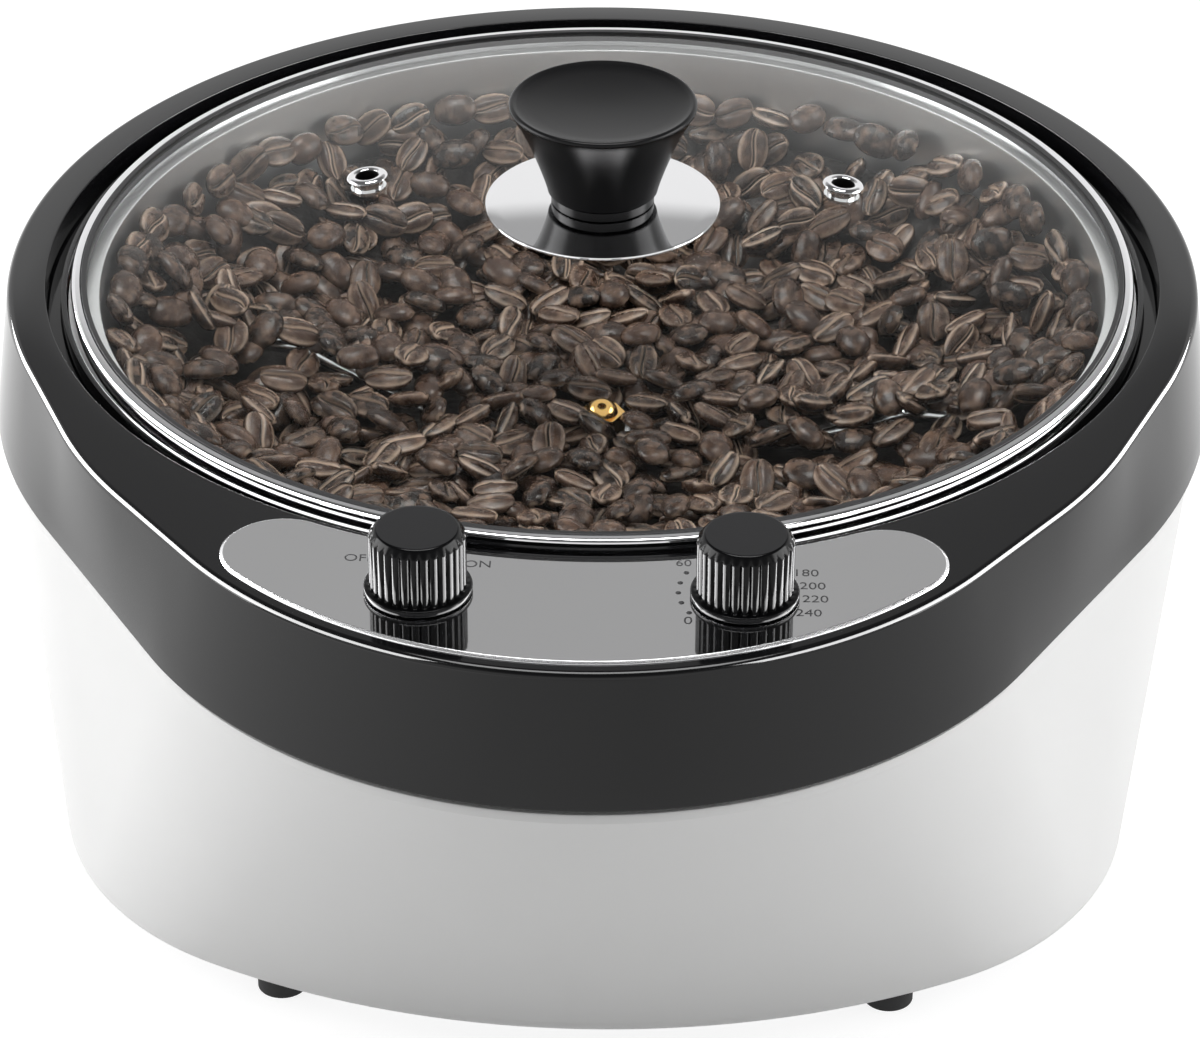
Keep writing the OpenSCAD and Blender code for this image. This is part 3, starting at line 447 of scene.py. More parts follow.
# %% [markdown]
# ## Egg-shaped outlines
# Seen from above, the shell is a circle about the pan with a smaller circle in front of it for the
# controls, joined by straight tangents. The base's foot is a rounded rectangle with a bowed front
# and back. To join the two without a twist, both are walked round by the direction in which their
# edge faces: points that face the same way are joined, as a sheet bent over both would lie.

# %% The two outlines
nose_r = 120.5
shell_low, shell_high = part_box("top_shell")
nose_out = (shell_high.y - shell_low.y) / MM - shell_r - nose_r - 2 * flare
lean = math.degrees(math.asin((shell_r - nose_r) / nose_out))
base_half, base_front, base_back = 143.5, 163.0, 143.0
bow_r, corner_r = 210.0, 85.0
corner_x = base_half - corner_r
bow_lean = math.degrees(math.asin(corner_x / (bow_r - corner_r)))
corner_reach = (bow_r - corner_r) * math.cos(math.radians(bow_lean))

# Where an outline runs straight, its facing stands still, and a share from 0 to 1 goes along it.
FACING_STEP, STRAIGHT_STEPS = 1.5, 8
facings = [(float(degree), 0.0) for degree in np.arange(0, 360, FACING_STEP)]
for straight in (0.0, 180.0, 180.0 + lean, 360.0 - lean):
    facings += [(straight, step / STRAIGHT_STEPS) for step in range(STRAIGHT_STEPS + 1)]
facings = sorted(set((round(a, 4), t) for a, t in facings))
print("points round an outline:", len(facings), "lean of the nose's tangents:", round(lean, 1))


def on_circle(x, y, radius, degree):
    return (x + radius * math.cos(math.radians(degree)), y + radius * math.sin(math.radians(degree)))


def between(a, b, t):
    return tuple(p + (q - p) * t for p, q in zip(a, b))


def shell_ring(inset, z):
    """The shell's foot outline, walked round by facing, drawn in by inset, at height z."""
    ring = []
    for degree, t in facings:
        round_part = on_circle(0, 0, shell_r - inset, degree)
        nose = on_circle(0, -nose_out, nose_r - inset, degree)
        if abs(degree - 180 - lean) < 0.01:
            point = between(round_part, nose, t)
        elif abs(degree - 360 + lean) < 0.01:
            point = between(nose, round_part, t)
        else:
            point = nose if 180 + lean < degree < 360 - lean else round_part
        ring.append((*point, z))
    return ring


def foot_ring(inset, z):
    """The base's bottom outline drawn in by inset, at height z."""
    front_y, back_y = bow_r - base_front - corner_reach, base_back - bow_r + corner_reach
    ring = []
    for degree, t in facings:
        if degree == 0:
            point = between((base_half - inset, front_y), (base_half - inset, back_y), t)
        elif degree == 180:
            point = between((inset - base_half, back_y), (inset - base_half, front_y), t)
        elif 90 - bow_lean < degree < 90 + bow_lean:
            point = on_circle(0, base_back - bow_r, bow_r - inset, degree)
        elif 270 - bow_lean < degree < 270 + bow_lean:
            point = on_circle(0, bow_r - base_front, bow_r - inset, degree)
        else:
            side = 1 if degree < 90 or degree > 270 else -1
            point = on_circle(side * corner_x, back_y if degree < 180 else front_y, corner_r - inset, degree)
        ring.append((*point, z))
    return ring


# %% [markdown]
# The shell's top edge is rounder at the sides than its foot: a third circle, the cheeks, lies between
# the other two and pushes it out a little. Such an outline is easiest to draw numerically: walk round
# it by the way it faces, note the distance from the pan's axis, and read that distance off in even
# directions. The round parts use the same directions, so the shell's rings join without a twist.

# %% The shell's outline from top to foot
directions = np.radians(np.arange(0, 360, 0.75))
cheek_out, cheek_r = 36.0, 146.0
FOOT_EGG = ((0, shell_r), (-nose_out, nose_r))
TOP_EGG = ((0, shell_r), (-cheek_out, cheek_r), (-nose_out, nose_r))
FACING_GRAIN, WALK_POINTS = 0.1, 8000


def egg_reach(circles, inset):
    """How far a band laid round the circles, drawn in by inset, lies from the axis each way."""
    facing = np.radians(np.arange(-90, 270 + FACING_GRAIN, FACING_GRAIN))
    push = np.array([radius + y * np.sin(facing) for y, radius in circles])
    y_mid, radius = np.array(circles)[push.argmax(0)].T
    x, y = (radius - inset) * np.cos(facing), y_mid + (radius - inset) * np.sin(facing)
    walked = np.concatenate(([0], np.cumsum(np.hypot(np.diff(x), np.diff(y)))))
    even = np.linspace(0, walked[-1], WALK_POINTS)
    x, y = np.interp(even, walked, x), np.interp(even, walked, y)
    turn = np.unwrap(np.arctan2(y, x))
    wanted = (directions - turn[0]) % (2 * math.pi) + turn[0]
    return np.interp(wanted, turn, np.hypot(x, y))


def egg_ring(inset, z, low=0.0):
    """The shell's outline at height z: the top's where low is 0, the foot's where it is 1."""
    out = (1 - low) * egg_reach(TOP_EGG, inset) + low * egg_reach(FOOT_EGG, inset)
    return [(float(r * math.cos(a)), float(r * math.sin(a)), z) for r, a in zip(out, directions)]


def round_ring(radius, z):
    """A circle about the pan's axis, its points in the same directions."""
    return [(radius * math.cos(a), radius * math.sin(a), z) for a in directions]


def ring_between(first, second, t):
    return [between(a, b, t) for a, b in zip(first, second)]


# %% [markdown]
# ## The white base
# It is one deep moulding, open at the top, with a stepped lip under the shell, a rounded bottom
# edge and an inner floor ring for the bottom plate. Rings run from the floor ring outwards, round
# the bottom edge, up the side to the lip, over it, and down the inside, which closes the skin. The
# side is ruled: straight lines join the foot's outline to the shell's, with rings between them.

# %% Base
seam_z, lip_h, edge, base_t = band_z - seam_gap, 3.0, 4.0, 2.5
floor_w, side_in, side_steps = 36.0, 2.4, 8
plate_top_z = heights("bottom_plate")[1]
side_low, side_high = foot_ring(0, foot_h + edge), shell_ring(side_in - flare, seam_z)
lip_low = (seam_z - lip_h - foot_h - edge) / (seam_z - foot_h - edge)
# A level is how far a ring is drawn in, and its height; the lip's heights count from the seam.
floor_levels = [(floor_w, plate_top_z + base_t), (floor_w, plate_top_z), (7.4, plate_top_z),
                (7.0, foot_h + 0.2), (6.6, foot_h), (edge, foot_h)]
lip_levels = [(1.5, 0.05 - lip_h), (1.2, 0.45 - lip_h), (1.2, -0.5), (1.4, -0.12), (1.8, 0), (4.9, 0)]
base_rings = [foot_ring(inset, z) for inset, z in floor_levels]
base_rings += [foot_ring(edge * (1 - math.sin(a)), foot_h + edge * (1 - math.cos(a)))
               for a in np.radians(range(10, 91, 10))]
base_rings += [ring_between(side_low, side_high, lip_low * s / side_steps) for s in range(1, side_steps + 1)]
base_rings += [shell_ring(inset - flare, seam_z + rise) for inset, rise in lip_levels]
base_rings.append(foot_ring(base_t, plate_top_z + base_t))
add_piece("base_shell_moulding", lofted(base_rings), [white_plastic], "housing",
          ["base_housing"])

# %% [markdown]
# Inside the seam a tongue stands up behind the shell's band. It is what makes the seam look dark and
# deep instead of showing daylight, so it is a piece of its own. At the back a round pad gives the
# cord's gland a flat seat.

# %% Tongue and cord pad
shell_wall, slip, band_h, tongue_t = 3.0, 0.4, 34.5, 2.2
tongue_out = flare * (1 - (tongue_h + seam_gap) / band_h) - shell_wall - slip
tongue = [shell_ring(inset - tongue_out, seam_z + rise)
          for inset, rise in ((0, -tongue_t), (0, tongue_h), (tongue_t, tongue_h), (tongue_t, -tongue_t))]
add_piece("base_tongue", lofted(tongue), [white_plastic], "housing")

gland_low, gland_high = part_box("cord_gland")
cord_z = (gland_low.z + gland_high.z) / 2 / MM
gland_nose, pad_hole_r, pad_r, pad_t = 12, 8, 12, 8
pad_back = (gland_high.y - axis_y) / MM - gland_nose
pad_turn = turned(soften([(pad_hole_r, -pad_t), (pad_r, -pad_t), (pad_r, 0), (pad_hole_r, 0)], 0.6), 64)
pad_skin = ([(x, pad_back + z, cord_z + y) for x, y, z in pad_turn[0]], pad_turn[1])
add_piece("cord_pad", pad_skin, [white_plastic], "housing")

# %% [markdown]
# ## The black top shell
# From the pan's opening outwards it has a ledge, a thin ridge that centres the lid, a gutter, the
# wall of the recess, the narrow top face, a rounded crest and the tall side band. All of that is
# one moulding, so it is one skin. The crest's small radius matters most: the studio lights run
# along it as one thin white line.

# %% Shell
ledge_z, opening_r, ridge_r, recess_r = lid_z - 2.5, 138.5, lid_r + 1.2, lid_r + 6.7
ceiling_z, crest, face_fall, edge_r = shell_top_z - 3, 2.0, 0.35, 0.32
ridge_h, ridge_w = 5.0, 1.5
# A level is how far out a ring lies, and how high over the ledge. The ridge's count from its own radius.
inner_levels = [(opening_r, -2.8), (opening_r, -0.3), (opening_r + 0.3, 0)]
ridge_levels = [(-0.3, 0), (0, 0.3), (0, ridge_h - 0.2), (0.06, ridge_h - 0.06), (0.2, ridge_h),
                (ridge_w - 0.2, ridge_h), (ridge_w - 0.06, ridge_h - 0.06), (ridge_w, ridge_h - 0.2),
                (ridge_w, 0.4), (ridge_w + 0.4, 0)]
inner_levels += [(ridge_r + out, rise) for out, rise in ridge_levels]
inner_levels += [(recess_r - 0.6, 0), (recess_r, 0.6)]
shell_rings = [round_ring(r, ledge_z + rise) for r, rise in inner_levels]
shell_rings += [round_ring(recess_r + out, shell_top_z - fall)
                for out, fall in ((0, 0.3), (0.05, 0.12), (0.14, 0.03), (edge_r, 0))]
face_in, face_out = shell_rings[-1], egg_ring(crest, shell_top_z - face_fall)
shell_rings += [[(x, y, shell_top_z - face_fall * t ** 2) for x, y, z in ring_between(face_in, face_out, t)]
                for t in (0.25, 0.5, 0.75, 1.0)]
crest_low, band_foot, band_steps = shell_top_z - face_fall - crest, band_z + 0.6, 6
shell_rings += [egg_ring(crest * (1 - math.cos(a)), crest_low + crest * math.sin(a))
                for a in np.radians(range(80, -1, -10))]
shell_rings += [egg_ring(-flare * t, crest_low + (band_foot - crest_low) * t, t)
                for t in (s / band_steps for s in range(1, band_steps + 1))]
shell_rings += [egg_ring(inset - flare, z, 1)
                for inset, z in ((0.2, band_z + 0.15), (0.6, band_z), (shell_wall, band_z))]
shell_rings += [egg_ring(shell_wall, ceiling_z), round_ring(recess_r + shell_wall, ceiling_z),
                round_ring(recess_r + shell_wall, ledge_z - 3), round_ring(opening_r + 0.3, ledge_z - 3)]
add_piece("top_shell_moulding", lofted(shell_rings), [black_plastic], "housing", ["top_shell"])

# %% [markdown]
# ## The control plate
# A crescent of mirror-like grey metal lies in the nose between the lid's recess and the front edge.
# It has round ends and a bright bevel all round. Its outline is four arcs: the front edge, two
# round ends and the hollow back edge. Each ring of the bevel is the same outline drawn in a little.

# %% Control plate
plate_low_z, plate_high_z = heights("control_panel")
plate_r, plate_end_r, front_margin, back_margin = 116.0, 15.0, 4.1, 1.0
plate_y = plate_r - (nose_out + nose_r - front_margin)
back_r = recess_r + back_margin
end_y = ((plate_r - plate_end_r) ** 2 - (back_r + plate_end_r) ** 2 - plate_y ** 2) / (-2 * plate_y)
end_x = math.sqrt((back_r + plate_end_r) ** 2 - end_y ** 2)
front_turn = math.degrees(math.atan2(end_y - plate_y, end_x))
back_turn = math.degrees(math.atan2(end_y, end_x))


def plate_outline(inset):
    """Points round the plate, drawn in by inset: front edge, right end, back edge, left end."""
    right_half = arc((0, plate_y), plate_r - inset, -90, front_turn, 36)
    right_half += arc((end_x, end_y), plate_end_r - inset, front_turn, back_turn + 180, 30)[1:]
    right_half += arc((0, 0), back_r + inset, back_turn, -90, 36)[1:]
    return right_half + [(-x, y) for x, y in reversed(right_half[1:-1])]


plate_levels = [(0.2, plate_low_z), (0, plate_low_z + 0.2), (0, plate_high_z - 0.6),
                (0.06, plate_high_z - 0.5), (0.72, plate_high_z - 0.04), (0.86, plate_high_z)]
plate_rings = [[(x, y, z) for x, y in plate_outline(inset)] for inset, z in plate_levels]
plate_points, plate_faces = lofted(plate_rings, closed=False)
count = len(plate_rings[0])
plate_faces += [tuple(range(count - 1, -1, -1)), tuple(range(len(plate_points) - count, len(plate_points)))]
add_piece("control_plate", (plate_points, plate_faces), [plate_mirror, plate_edge], "housing",
          ["control_panel"], 20,
          lambda middle: 0 if middle.z > plate_high_z - 0.02 else 1)

# %% [markdown]
# ## Marks on the plate
# The temperature knob has a ring of dots, a 0, and round numbers up to 240; the other knob says OFF
# and ON. They are printed in thin dark ink. Blender's text objects give the letters, which become
# a mesh a few hundredths of a millimetre thick, so that the ink lies on the metal as real print does.

# %% Dial marks: words, where their middle lies, and how tall their letters are
CAPITAL_SHARE, INK_LIFT, INK_T, DOT_R, DOT_POINTS = 0.7, 0.03, 0.025, 0.7, 12
PLATE_MARKS = [("0", 25.6, -176.2, 3.2), ("60", 24.2, -151.0, 2.8), ("180", 53.6, -154.4, 3.0),
               ("200", 55.2, -160.1, 3.0), ("220", 55.8, -165.8, 3.0), ("240", 54.2, -171.9, 3.0),
               ("OFF", -54.2, -151.4, 3.0), ("ON", -25.4, -153.2, 3.0)]
PLATE_DOTS = [(24.9, -155.2), (23.5, -159.7), (23.1, -164.1), (23.9, -168.4), (25.8, -172.7)]
mark_points, mark_faces = [], []
for words, x, y, tall in PLATE_MARKS:
    text = bpy.data.curves.new("words", "FONT")
    text.body, text.size, text.align_x, text.align_y = words, tall / CAPITAL_SHARE, "CENTER", "CENTER"
    text.resolution_u = 4
    holder = bpy.data.objects.new("words", text)
    flat = bpy.data.meshes.new_from_object(holder)
    start = len(mark_points)
    mark_points += [(x + v.co.x, y + v.co.y, plate_high_z + INK_LIFT) for v in flat.vertices]
    mark_faces += [tuple(start + i for i in face.vertices) for face in flat.polygons]
    bpy.data.objects.remove(holder)
    bpy.data.curves.remove(text)
    bpy.data.meshes.remove(flat)
for x, y in PLATE_DOTS:
    start = len(mark_points)
    mark_points += [(*on_circle(x, y, DOT_R, 360 / DOT_POINTS * k), plate_high_z + INK_LIFT)
                    for k in range(DOT_POINTS)]
    mark_faces.append(tuple(range(start, start + DOT_POINTS)))
marks = add_piece("dial_marks", (mark_points, mark_faces), [dial_ink], "housing")
marks.modifiers.clear()
marks.modifiers.new("ink thickness", "SOLIDIFY").thickness = INK_T * MM

# %% [markdown]
# ## The two control knobs
# Each is a black cap with thirty ribs, a thin flange at its foot and a bevelled edge round a flat,
# duller face. The ribs could be thirty small boxes; instead the radius of every ring rises and falls
# thirty times, which gives the rounded ribs and the sharp valleys of a real moulding in one skin.

# %% Control knobs
RIBS, RIB_DEPTH = 30, 0.62


def knob_skin(x, y, z):
    """A ribbed knob over the point x, y with its foot at height z."""
    # Each level is a radius, a height, and how much of the ribs' depth shows there.
    levels = [(0, 3, 0), (7.6, 3, 0), (7.6, 0, 0), (12.8, 0, 0), (13.05, 0.15, 0), (13.1, 0.4, 0),
              (13.1, 1.2, 0), (12.95, 1.5, 0), (12.6, 1.6, 0), (11.95, 1.62, 0), (11.75, 1.75, 1),
              (11.7, 2.2, 1), (11.7, 8, 1), (11.7, 15.0, 1), (11.64, 15.15, 0.9), (11.36, 15.5, 0.45),
              (11.08, 15.85, 0), (10.35, 16.8, 0), (10.2, 16.98, 0), (9.98, 17.12, 0), (9.7, 17.19, 0),
              (9.4, 17.2, 0), (0, 17.2, 0)]
    rings = []
    for radius, height, ribbed in levels:
        ring = []
        for k in range(360):
            rise = abs(math.sin(math.radians(k * RIBS / 2)))
            r = radius - RIB_DEPTH * ribbed * (1 - rise) ** 1.4
            ring.append((*on_circle(x, y, r, k), z + height))
        rings.append(ring)
    return lofted(rings)


for node, body in (("heat_knob", "heat_dial"), ("power_knob", "power_dial")):
    low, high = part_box(node)
    knob_x, knob_y = ((low.x + high.x) / 2 - axis_x) / MM, ((low.y + high.y) / 2 - axis_y) / MM
    face_z = high.z / MM - 0.02
    add_piece(node + "_cap", knob_skin(knob_x, knob_y, low.z / MM), [knob_plastic, knob_face], body,
              [node], 50, lambda middle: 1 if middle.z > face_z else 0)

# %% [markdown]
# ## The pan
# The pan is spun aluminium, with a rounded corner at its floor and a flat flange on top that hangs
# on the shell's ledge. Only its upper wall shows above the beans, as a smooth pale band under the
# glass. A turned profile is all it needs.

# %% Pan
pan_floor_z, pan_t, flange_t = 72.0, 2.5, 1.5
pan_r, pan_draft, fillet_r = 135.0, 4.0, 14.0
bore_r, tube_r, tube_low_z, tube_high_z = 7.0, 10.0, 62.0, 82.0
flange_r = reach("roasting_pan")
fillet = (pan_r - pan_draft - fillet_r, pan_floor_z + fillet_r)
pan_profile = [(bore_r, tube_low_z), (tube_r, tube_low_z), (tube_r, pan_floor_z - pan_t)]
pan_profile += arc(fillet, fillet_r + pan_t, -90, 0, 12)
pan_profile += [(pan_r + 2, lid_z - flange_t), (flange_r, lid_z - flange_t), (flange_r, lid_z),
                (pan_r + 0.6, lid_z), (pan_r + 0.15, lid_z - 0.2), (pan_r, lid_z - 0.7)]
pan_profile += arc(fillet, fillet_r, 0, -90, 12)
pan_profile += [(tube_r, pan_floor_z), (tube_r, tube_high_z), (bore_r, tube_high_z)]
add_piece("spun_pan", turned(pan_profile), [pan_metal], "housing", ["roasting_pan"], 30)

# %% [markdown]
# ## The lid: glass, rim and seal
# The glass is a shallow dome 3.5 mm thick. A black seal grips its edge, and a rolled ring of
# polished steel holds the seal. Two skins of the dome, joined at the edge and at the knob's hole,
# make it a real solid, so light bends in it as in glass. Its two steam holes are cut by a Boolean.

# %% Dome of the glass
dome_rise, glass_t, glass_r, screw_hole_r, ground = 18.0, 3.5, lid_r - 1.3, 2.5, 0.5
seat_z = rim_top_z - 1.25
dome_r = (glass_r ** 2 + dome_rise ** 2) / (2 * dome_rise)
crown_z = seat_z + dome_rise
dome_z = crown_z - dome_r
print("crown of the dome at", round(crown_z, 2), "mm, its radius", round(dome_r, 1))


def dome_height(r, lift=0.0):
    """Height of the dome's outside at a distance from the axis, or of a parallel skin."""
    return dome_z + math.sqrt((dome_r + lift) ** 2 - r ** 2)


def spread(first, last, steps):
    """Radii in even steps from first to last."""
    return [first + (last - first) * s / steps for s in range(steps + 1)]


radii, ground_r = spread(screw_hole_r, glass_r, 28)[:-1], glass_r - ground
glass_profile = [(r, dome_height(r)) for r in radii]
glass_profile += [(ground_r, dome_height(ground_r)), (glass_r, dome_height(glass_r) - ground),
                  (glass_r, dome_height(glass_r, -glass_t) + ground),
                  (ground_r, dome_height(ground_r, -glass_t))]
glass_profile += [(r, dome_height(r, -glass_t)) for r in reversed(radii)]

# %% [markdown]
# Clear glass needs two answers. To the eye it bends and reflects light. To a lamp's shadow ray it
# should simply let light through, or the beans under it would be drowned in noise. A Mix Shader on
# Light Path's Is Shadow Ray gives both. The glass is coated, so it reflects less than plain glass
# does, and shows its haze only near the back, where it is seen at a low angle.

# %% Glass finish
clear_glass, make = new_finish("clear_lid_glass")
smear = make.noise(26, 3)
glass_body = make.surface(Base_Color=rgb(0.97, 0.98, 0.975), Roughness=smear * 0.012, IOR=1.10,
                          Transmission_Weight=1.0)
let_through = make.node("BsdfTransparent", None, {"Color": rgb(0.95, 0.96, 0.955)})
shadow_ray = make.node("LightPath", out="Is Shadow Ray")
make.shown(make.node("MixShader", None, {0: shadow_ray, 1: glass_body, 2: let_through}))

# %% Glass with its two steam holes
glass = add_piece("lid_dome_glass", turned(glass_profile), [clear_glass], "lid",
                  ["lid_glass"], 30)
vent_x, vent_y, drill_r, drill_h = 64.7, 20.0, 4.1, 20.0


def on_dome(x, y):
    """The turn and shift that stand a piece square on the glass over a point, in metres."""
    out = math.hypot(x, y)
    tilt = Matrix.Rotation(math.asin(out / dome_r), 4, "Y")
    turn = Matrix.Rotation(math.atan2(y, x), 4, "Z")
    return (Matrix.Translation(place(0, 0, dome_z)) @ turn @ tilt
            @ Matrix.Translation((0, 0, dome_r * MM)))


for side in (-1, 1):
    drill = bpy.data.meshes.new("drill")
    form = bmesh.new()
    bmesh.ops.create_cone(form, cap_ends=True, segments=48, depth=drill_h * MM,
                          radius1=drill_r * MM, radius2=drill_r * MM)
    form.transform(on_dome(side * vent_x, vent_y))
    form.to_mesh(drill)
    form.free()
    holder = put_in_scene("drill", drill)
    cut = glass.modifiers.new("steam hole", "BOOLEAN")
    cut.object, cut.operation, cut.solver = holder, "DIFFERENCE", "EXACT"
    with_hole = bpy.data.meshes.new_from_object(glass.evaluated_get(bpy.context.evaluated_depsgraph_get()))
    glass.modifiers.remove(cut)
    glass.data = with_hole
    bpy.data.objects.remove(holder)
    bpy.data.meshes.remove(drill)
print("glass has", len(glass.data.polygons), "faces after drilling")

# %% Rim and seal
rim_w, rim_t, roll_r = 2.7, 0.8, 1.3
rim_profile = [(lid_r - rim_w - 1, lid_z), (lid_r - 0.3, lid_z), (lid_r, lid_z + 0.3)]
rim_profile += arc((lid_r - roll_r, rim_top_z - roll_r), roll_r, 0, 90, 8)
rim_profile += [(lid_r - rim_w + 0.3, rim_top_z), (lid_r - rim_w, rim_top_z - 0.3),
                (lid_r - rim_w, rim_top_z - rim_t), (lid_r - rim_t, rim_top_z - rim_t),
                (lid_r - rim_t, lid_z + rim_t), (lid_r - rim_w - 1, lid_z + rim_t)]
add_piece("lid_steel_rim", turned(rim_profile, 256), [steel_polished], "lid", ["lid_rim"], 30)

seal_r, held_r, lip_r, held = lid_r - 4.3, lid_r - 1.0, lid_r - rim_w - 0.1, rim_t + 0.1
seal_profile = [(seal_r, lid_z + held), (held_r, lid_z + held), (held_r, rim_top_z - held),
                (lip_r, rim_top_z - held), (lip_r, rim_top_z + 0.25),
                (seal_r + 0.1, rim_top_z + 0.25), (seal_r, rim_top_z - 0.2)]
add_piece("lid_seal_ring", turned(soften(seal_profile, 0.25), 256), [seal_rubber], "lid",
          ["lid_seal"])

# %% [markdown]
# ## The lid's knob and its disc
# A turned black knob stands on a mirror-polished disc that follows the dome. The knob is a cone that
# widens upwards, with a slightly hollow top and a thin ring at its waist. The disc's edge is
# rounded, and shows as a white line round the mirror.

# %% Disc and knob
disc_r, disc_t, disc_gap = reach("knob_disc"), 1.2, 0.1
disc_radii = spread(1.5, disc_r - 0.5, 10)
disc_profile = [(r, dome_height(r, disc_gap + disc_t)) for r in disc_radii]
disc_edge = dome_height(disc_r, disc_gap)
disc_profile += [(disc_r - 0.12, disc_edge + disc_t - 0.12), (disc_r, disc_edge + disc_t - 0.45),
                 (disc_r, disc_edge + 0.4), (disc_r - 0.2, disc_edge + 0.12)]
disc_profile += [(r, dome_height(r, disc_gap)) for r in reversed(disc_radii)]
add_piece("lid_knob_disc", turned(disc_profile, 128), [disc_mirror], "lid", ["knob_disc"], 30)

grip_z, grip_top_z = heights("lid_knob")
grip_h, grip_r = grip_top_z - grip_z, reach("lid_knob")
waist = [(0, 0), (13.6, 0), (13.8, 0.2), (13.8, 2.5), (13.3, 2.65), (13.3, 2.95), (14.5, 3.1), (14.75, 3.3),
         (14.85, 3.7), (15.0, 4.4), (15.8, 7.0), (17.2, 11.0), (18.8, 15.2), (20.5, 19.2), (22.3, 23.0),
         (grip_r - 0.8, 26.3)]
crown = arc((grip_r - 1.0, grip_h - 1.0), 1.0, -20, 100, 8)
hollow = [(grip_r - 2.0, grip_h - 0.32), (grip_r - 3.2, grip_h - 0.62), (19, grip_h - 1.1),
          (12.5, grip_h - 1.65), (6, grip_h - 1.93), (0, grip_h - 2)]
grip_profile = [(r, grip_z + z) for r, z in waist + crown + hollow]
dish_r, dish_z = grip_r - 1.9, grip_top_z - 2.2


def grip_part(middle):
    """1 in the hollow top, 0 on the rest of the knob."""
    out = math.hypot(middle.x - axis_x / MM, middle.y - axis_y / MM)
    return 1 if middle.z > dish_z and out < dish_r else 0


add_piece("lid_grip", turned(grip_profile, 128), [lid_knob_plastic, dish_plastic], "lid", ["lid_knob"],
          45, grip_part)

# %% [markdown]
# ## Steam vents
# Two small chrome eyelets sit in the glass behind the knob. Each is a collar on top, a sleeve
# through the glass and a collar below, with a hole that looks black. The hole's wall is painted
# near black: painted shade for the darkness inside the narrow hole.

# %% Vents
eye_r = 3.0
eyelet = [(eye_r, -glass_t - 1), (3.3, -glass_t - 1.1), (4.7, -glass_t - 1.05), (4.9, -glass_t - 0.7),
          (4.9, -glass_t - 0.15), (4.0, -glass_t - 0.12), (4.0, 0.05), (5.4, 0.06), (5.6, 0.3),
          (5.35, 0.72), (4.8, 1.0), (4.25, 1.06), (3.6, 0.98), (3.15, 0.7), (eye_r, 0.35)]
for side, name in ((-1, "vent_left"), (1, "vent_right")):
    eyelet_points, eyelet_faces = turned(eyelet, 48)
    square = on_dome(side * vent_x, vent_y)
    moved = [(square @ (Vector(p) * MM)) for p in eyelet_points]
    moved = [((v.x - axis_x) / MM, (v.y - axis_y) / MM, v.z / MM) for v in moved]
    piece = add_piece(name, (moved, eyelet_faces), [chrome, painted_shade_bore], "lid",
                      ["vent_collars"] if side < 0 else (), 60)
    # Faces inside the hole take the painted shade.
    inner = square.inverted()
    for face in piece.data.polygons:
        middle = inner @ face.center
        face.material_index = 1 if math.hypot(middle.x, middle.y) < 1.03 * eye_r * MM else 0

# %% [markdown]
# ## The shape of a bean
# A roasted bean is 12 to 13 mm long, round on its back and nearly flat on the other side, where a
# crease in a shallow S divides two soft lips. Ready-made spheres would look like peas. Here a bean
# is a row of cross-sections: a half ellipse for the back, and for the flat side eleven points, five
# of them close together at the crease. Each point also notes how deep in the crease it lies.

# %% One bean
BEAN_L, BEAN_W, BACK_H, FLAT_H, WAIST_Z = 6.5, 4.6, 3.1, 1.55, 0.2
LIP_H, LIP_OUT, LIP_W = 0.34, 1.25, 0.8
CREASE_H, CREASE_W = 1.35, 0.48
# Across the flat side: where a point lies, and how pale or deep it is; the rim's pale value is a painted
# highlight.
FLAT_STEPS = ((0.88, 0.2), (0.66, 0.0), (0.42, 0.0))
CREASE_STEPS = ((-0.85, 0), (-0.34, 0.45), (0, 1), (0.34, 0.45), (0.85, 0))
BACK_STEPS = 8


def bean_form(dice, sections=11):
    """Points, faces and crease depths of one bean, in millimetres, its flat side down."""
    half_l, half_w = BEAN_L + 0.35 * dice.standard_normal(), BEAN_W + 0.2 * dice.standard_normal()
    back_h = BACK_H + 0.25 * dice.standard_normal()
    swing, phase = 0.55 + 0.35 * dice.random(), dice.choice((-1, 1))
    points, depths = [(-half_l, 0, WAIST_Z)], [0.4]
    for i in range(1, sections + 1):
        along = math.pi * i / (sections + 1)
        x, swell = -half_l * math.cos(along), math.sin(along)
        width = half_w * swell ** 0.78
        middle = phase * swing * math.sin(1.9 * x / half_l) * swell
        for k in range(BACK_STEPS + 1):
            turn = math.pi * k / BACK_STEPS
            rise = back_h * swell ** 0.72 * math.sin(turn) ** 0.85
            points.append((x, width * math.cos(turn), WAIST_Z + rise))
            depths.append(0.0)
        flat = [(-share * width, pale) for share, pale in FLAT_STEPS]
        flat += [(middle + step * min(1, width / 2.4), depth) for step, depth in CREASE_STEPS]
        flat += [(share * width, pale) for share, pale in reversed(FLAT_STEPS)]
        for y, depth in flat:
            edge_fall = 1 - abs(y / width) ** 2.6
            lip = LIP_H * math.exp(-((abs(y - middle) - LIP_OUT) / LIP_W) ** 2)
            groove = CREASE_H * math.exp(-((y - middle) / CREASE_W) ** 2) * swell ** 0.4
            points.append((x, y, WAIST_Z - (FLAT_H * swell ** 0.6 * edge_fall + lip * swell) + groove))
            depths.append(depth * min(1, 1.6 * swell))
    points.append((half_l, 0, WAIST_Z))
    depths.append(0.4)
    faces, round_count = [], BACK_STEPS + 1 + len(flat)
    for k in range(round_count):
        l = (k + 1) % round_count
        faces.append((0, 1 + l, 1 + k))
        last = 1 + (sections - 1) * round_count
        faces.append((last + k, last + l, len(points) - 1))
        for i in range(sections - 1):
            a, b = 1 + i * round_count, 1 + (i + 1) * round_count
            faces.append((a + k, a + l, b + l, b + k))
    return np.array(points), faces, np.array(depths)


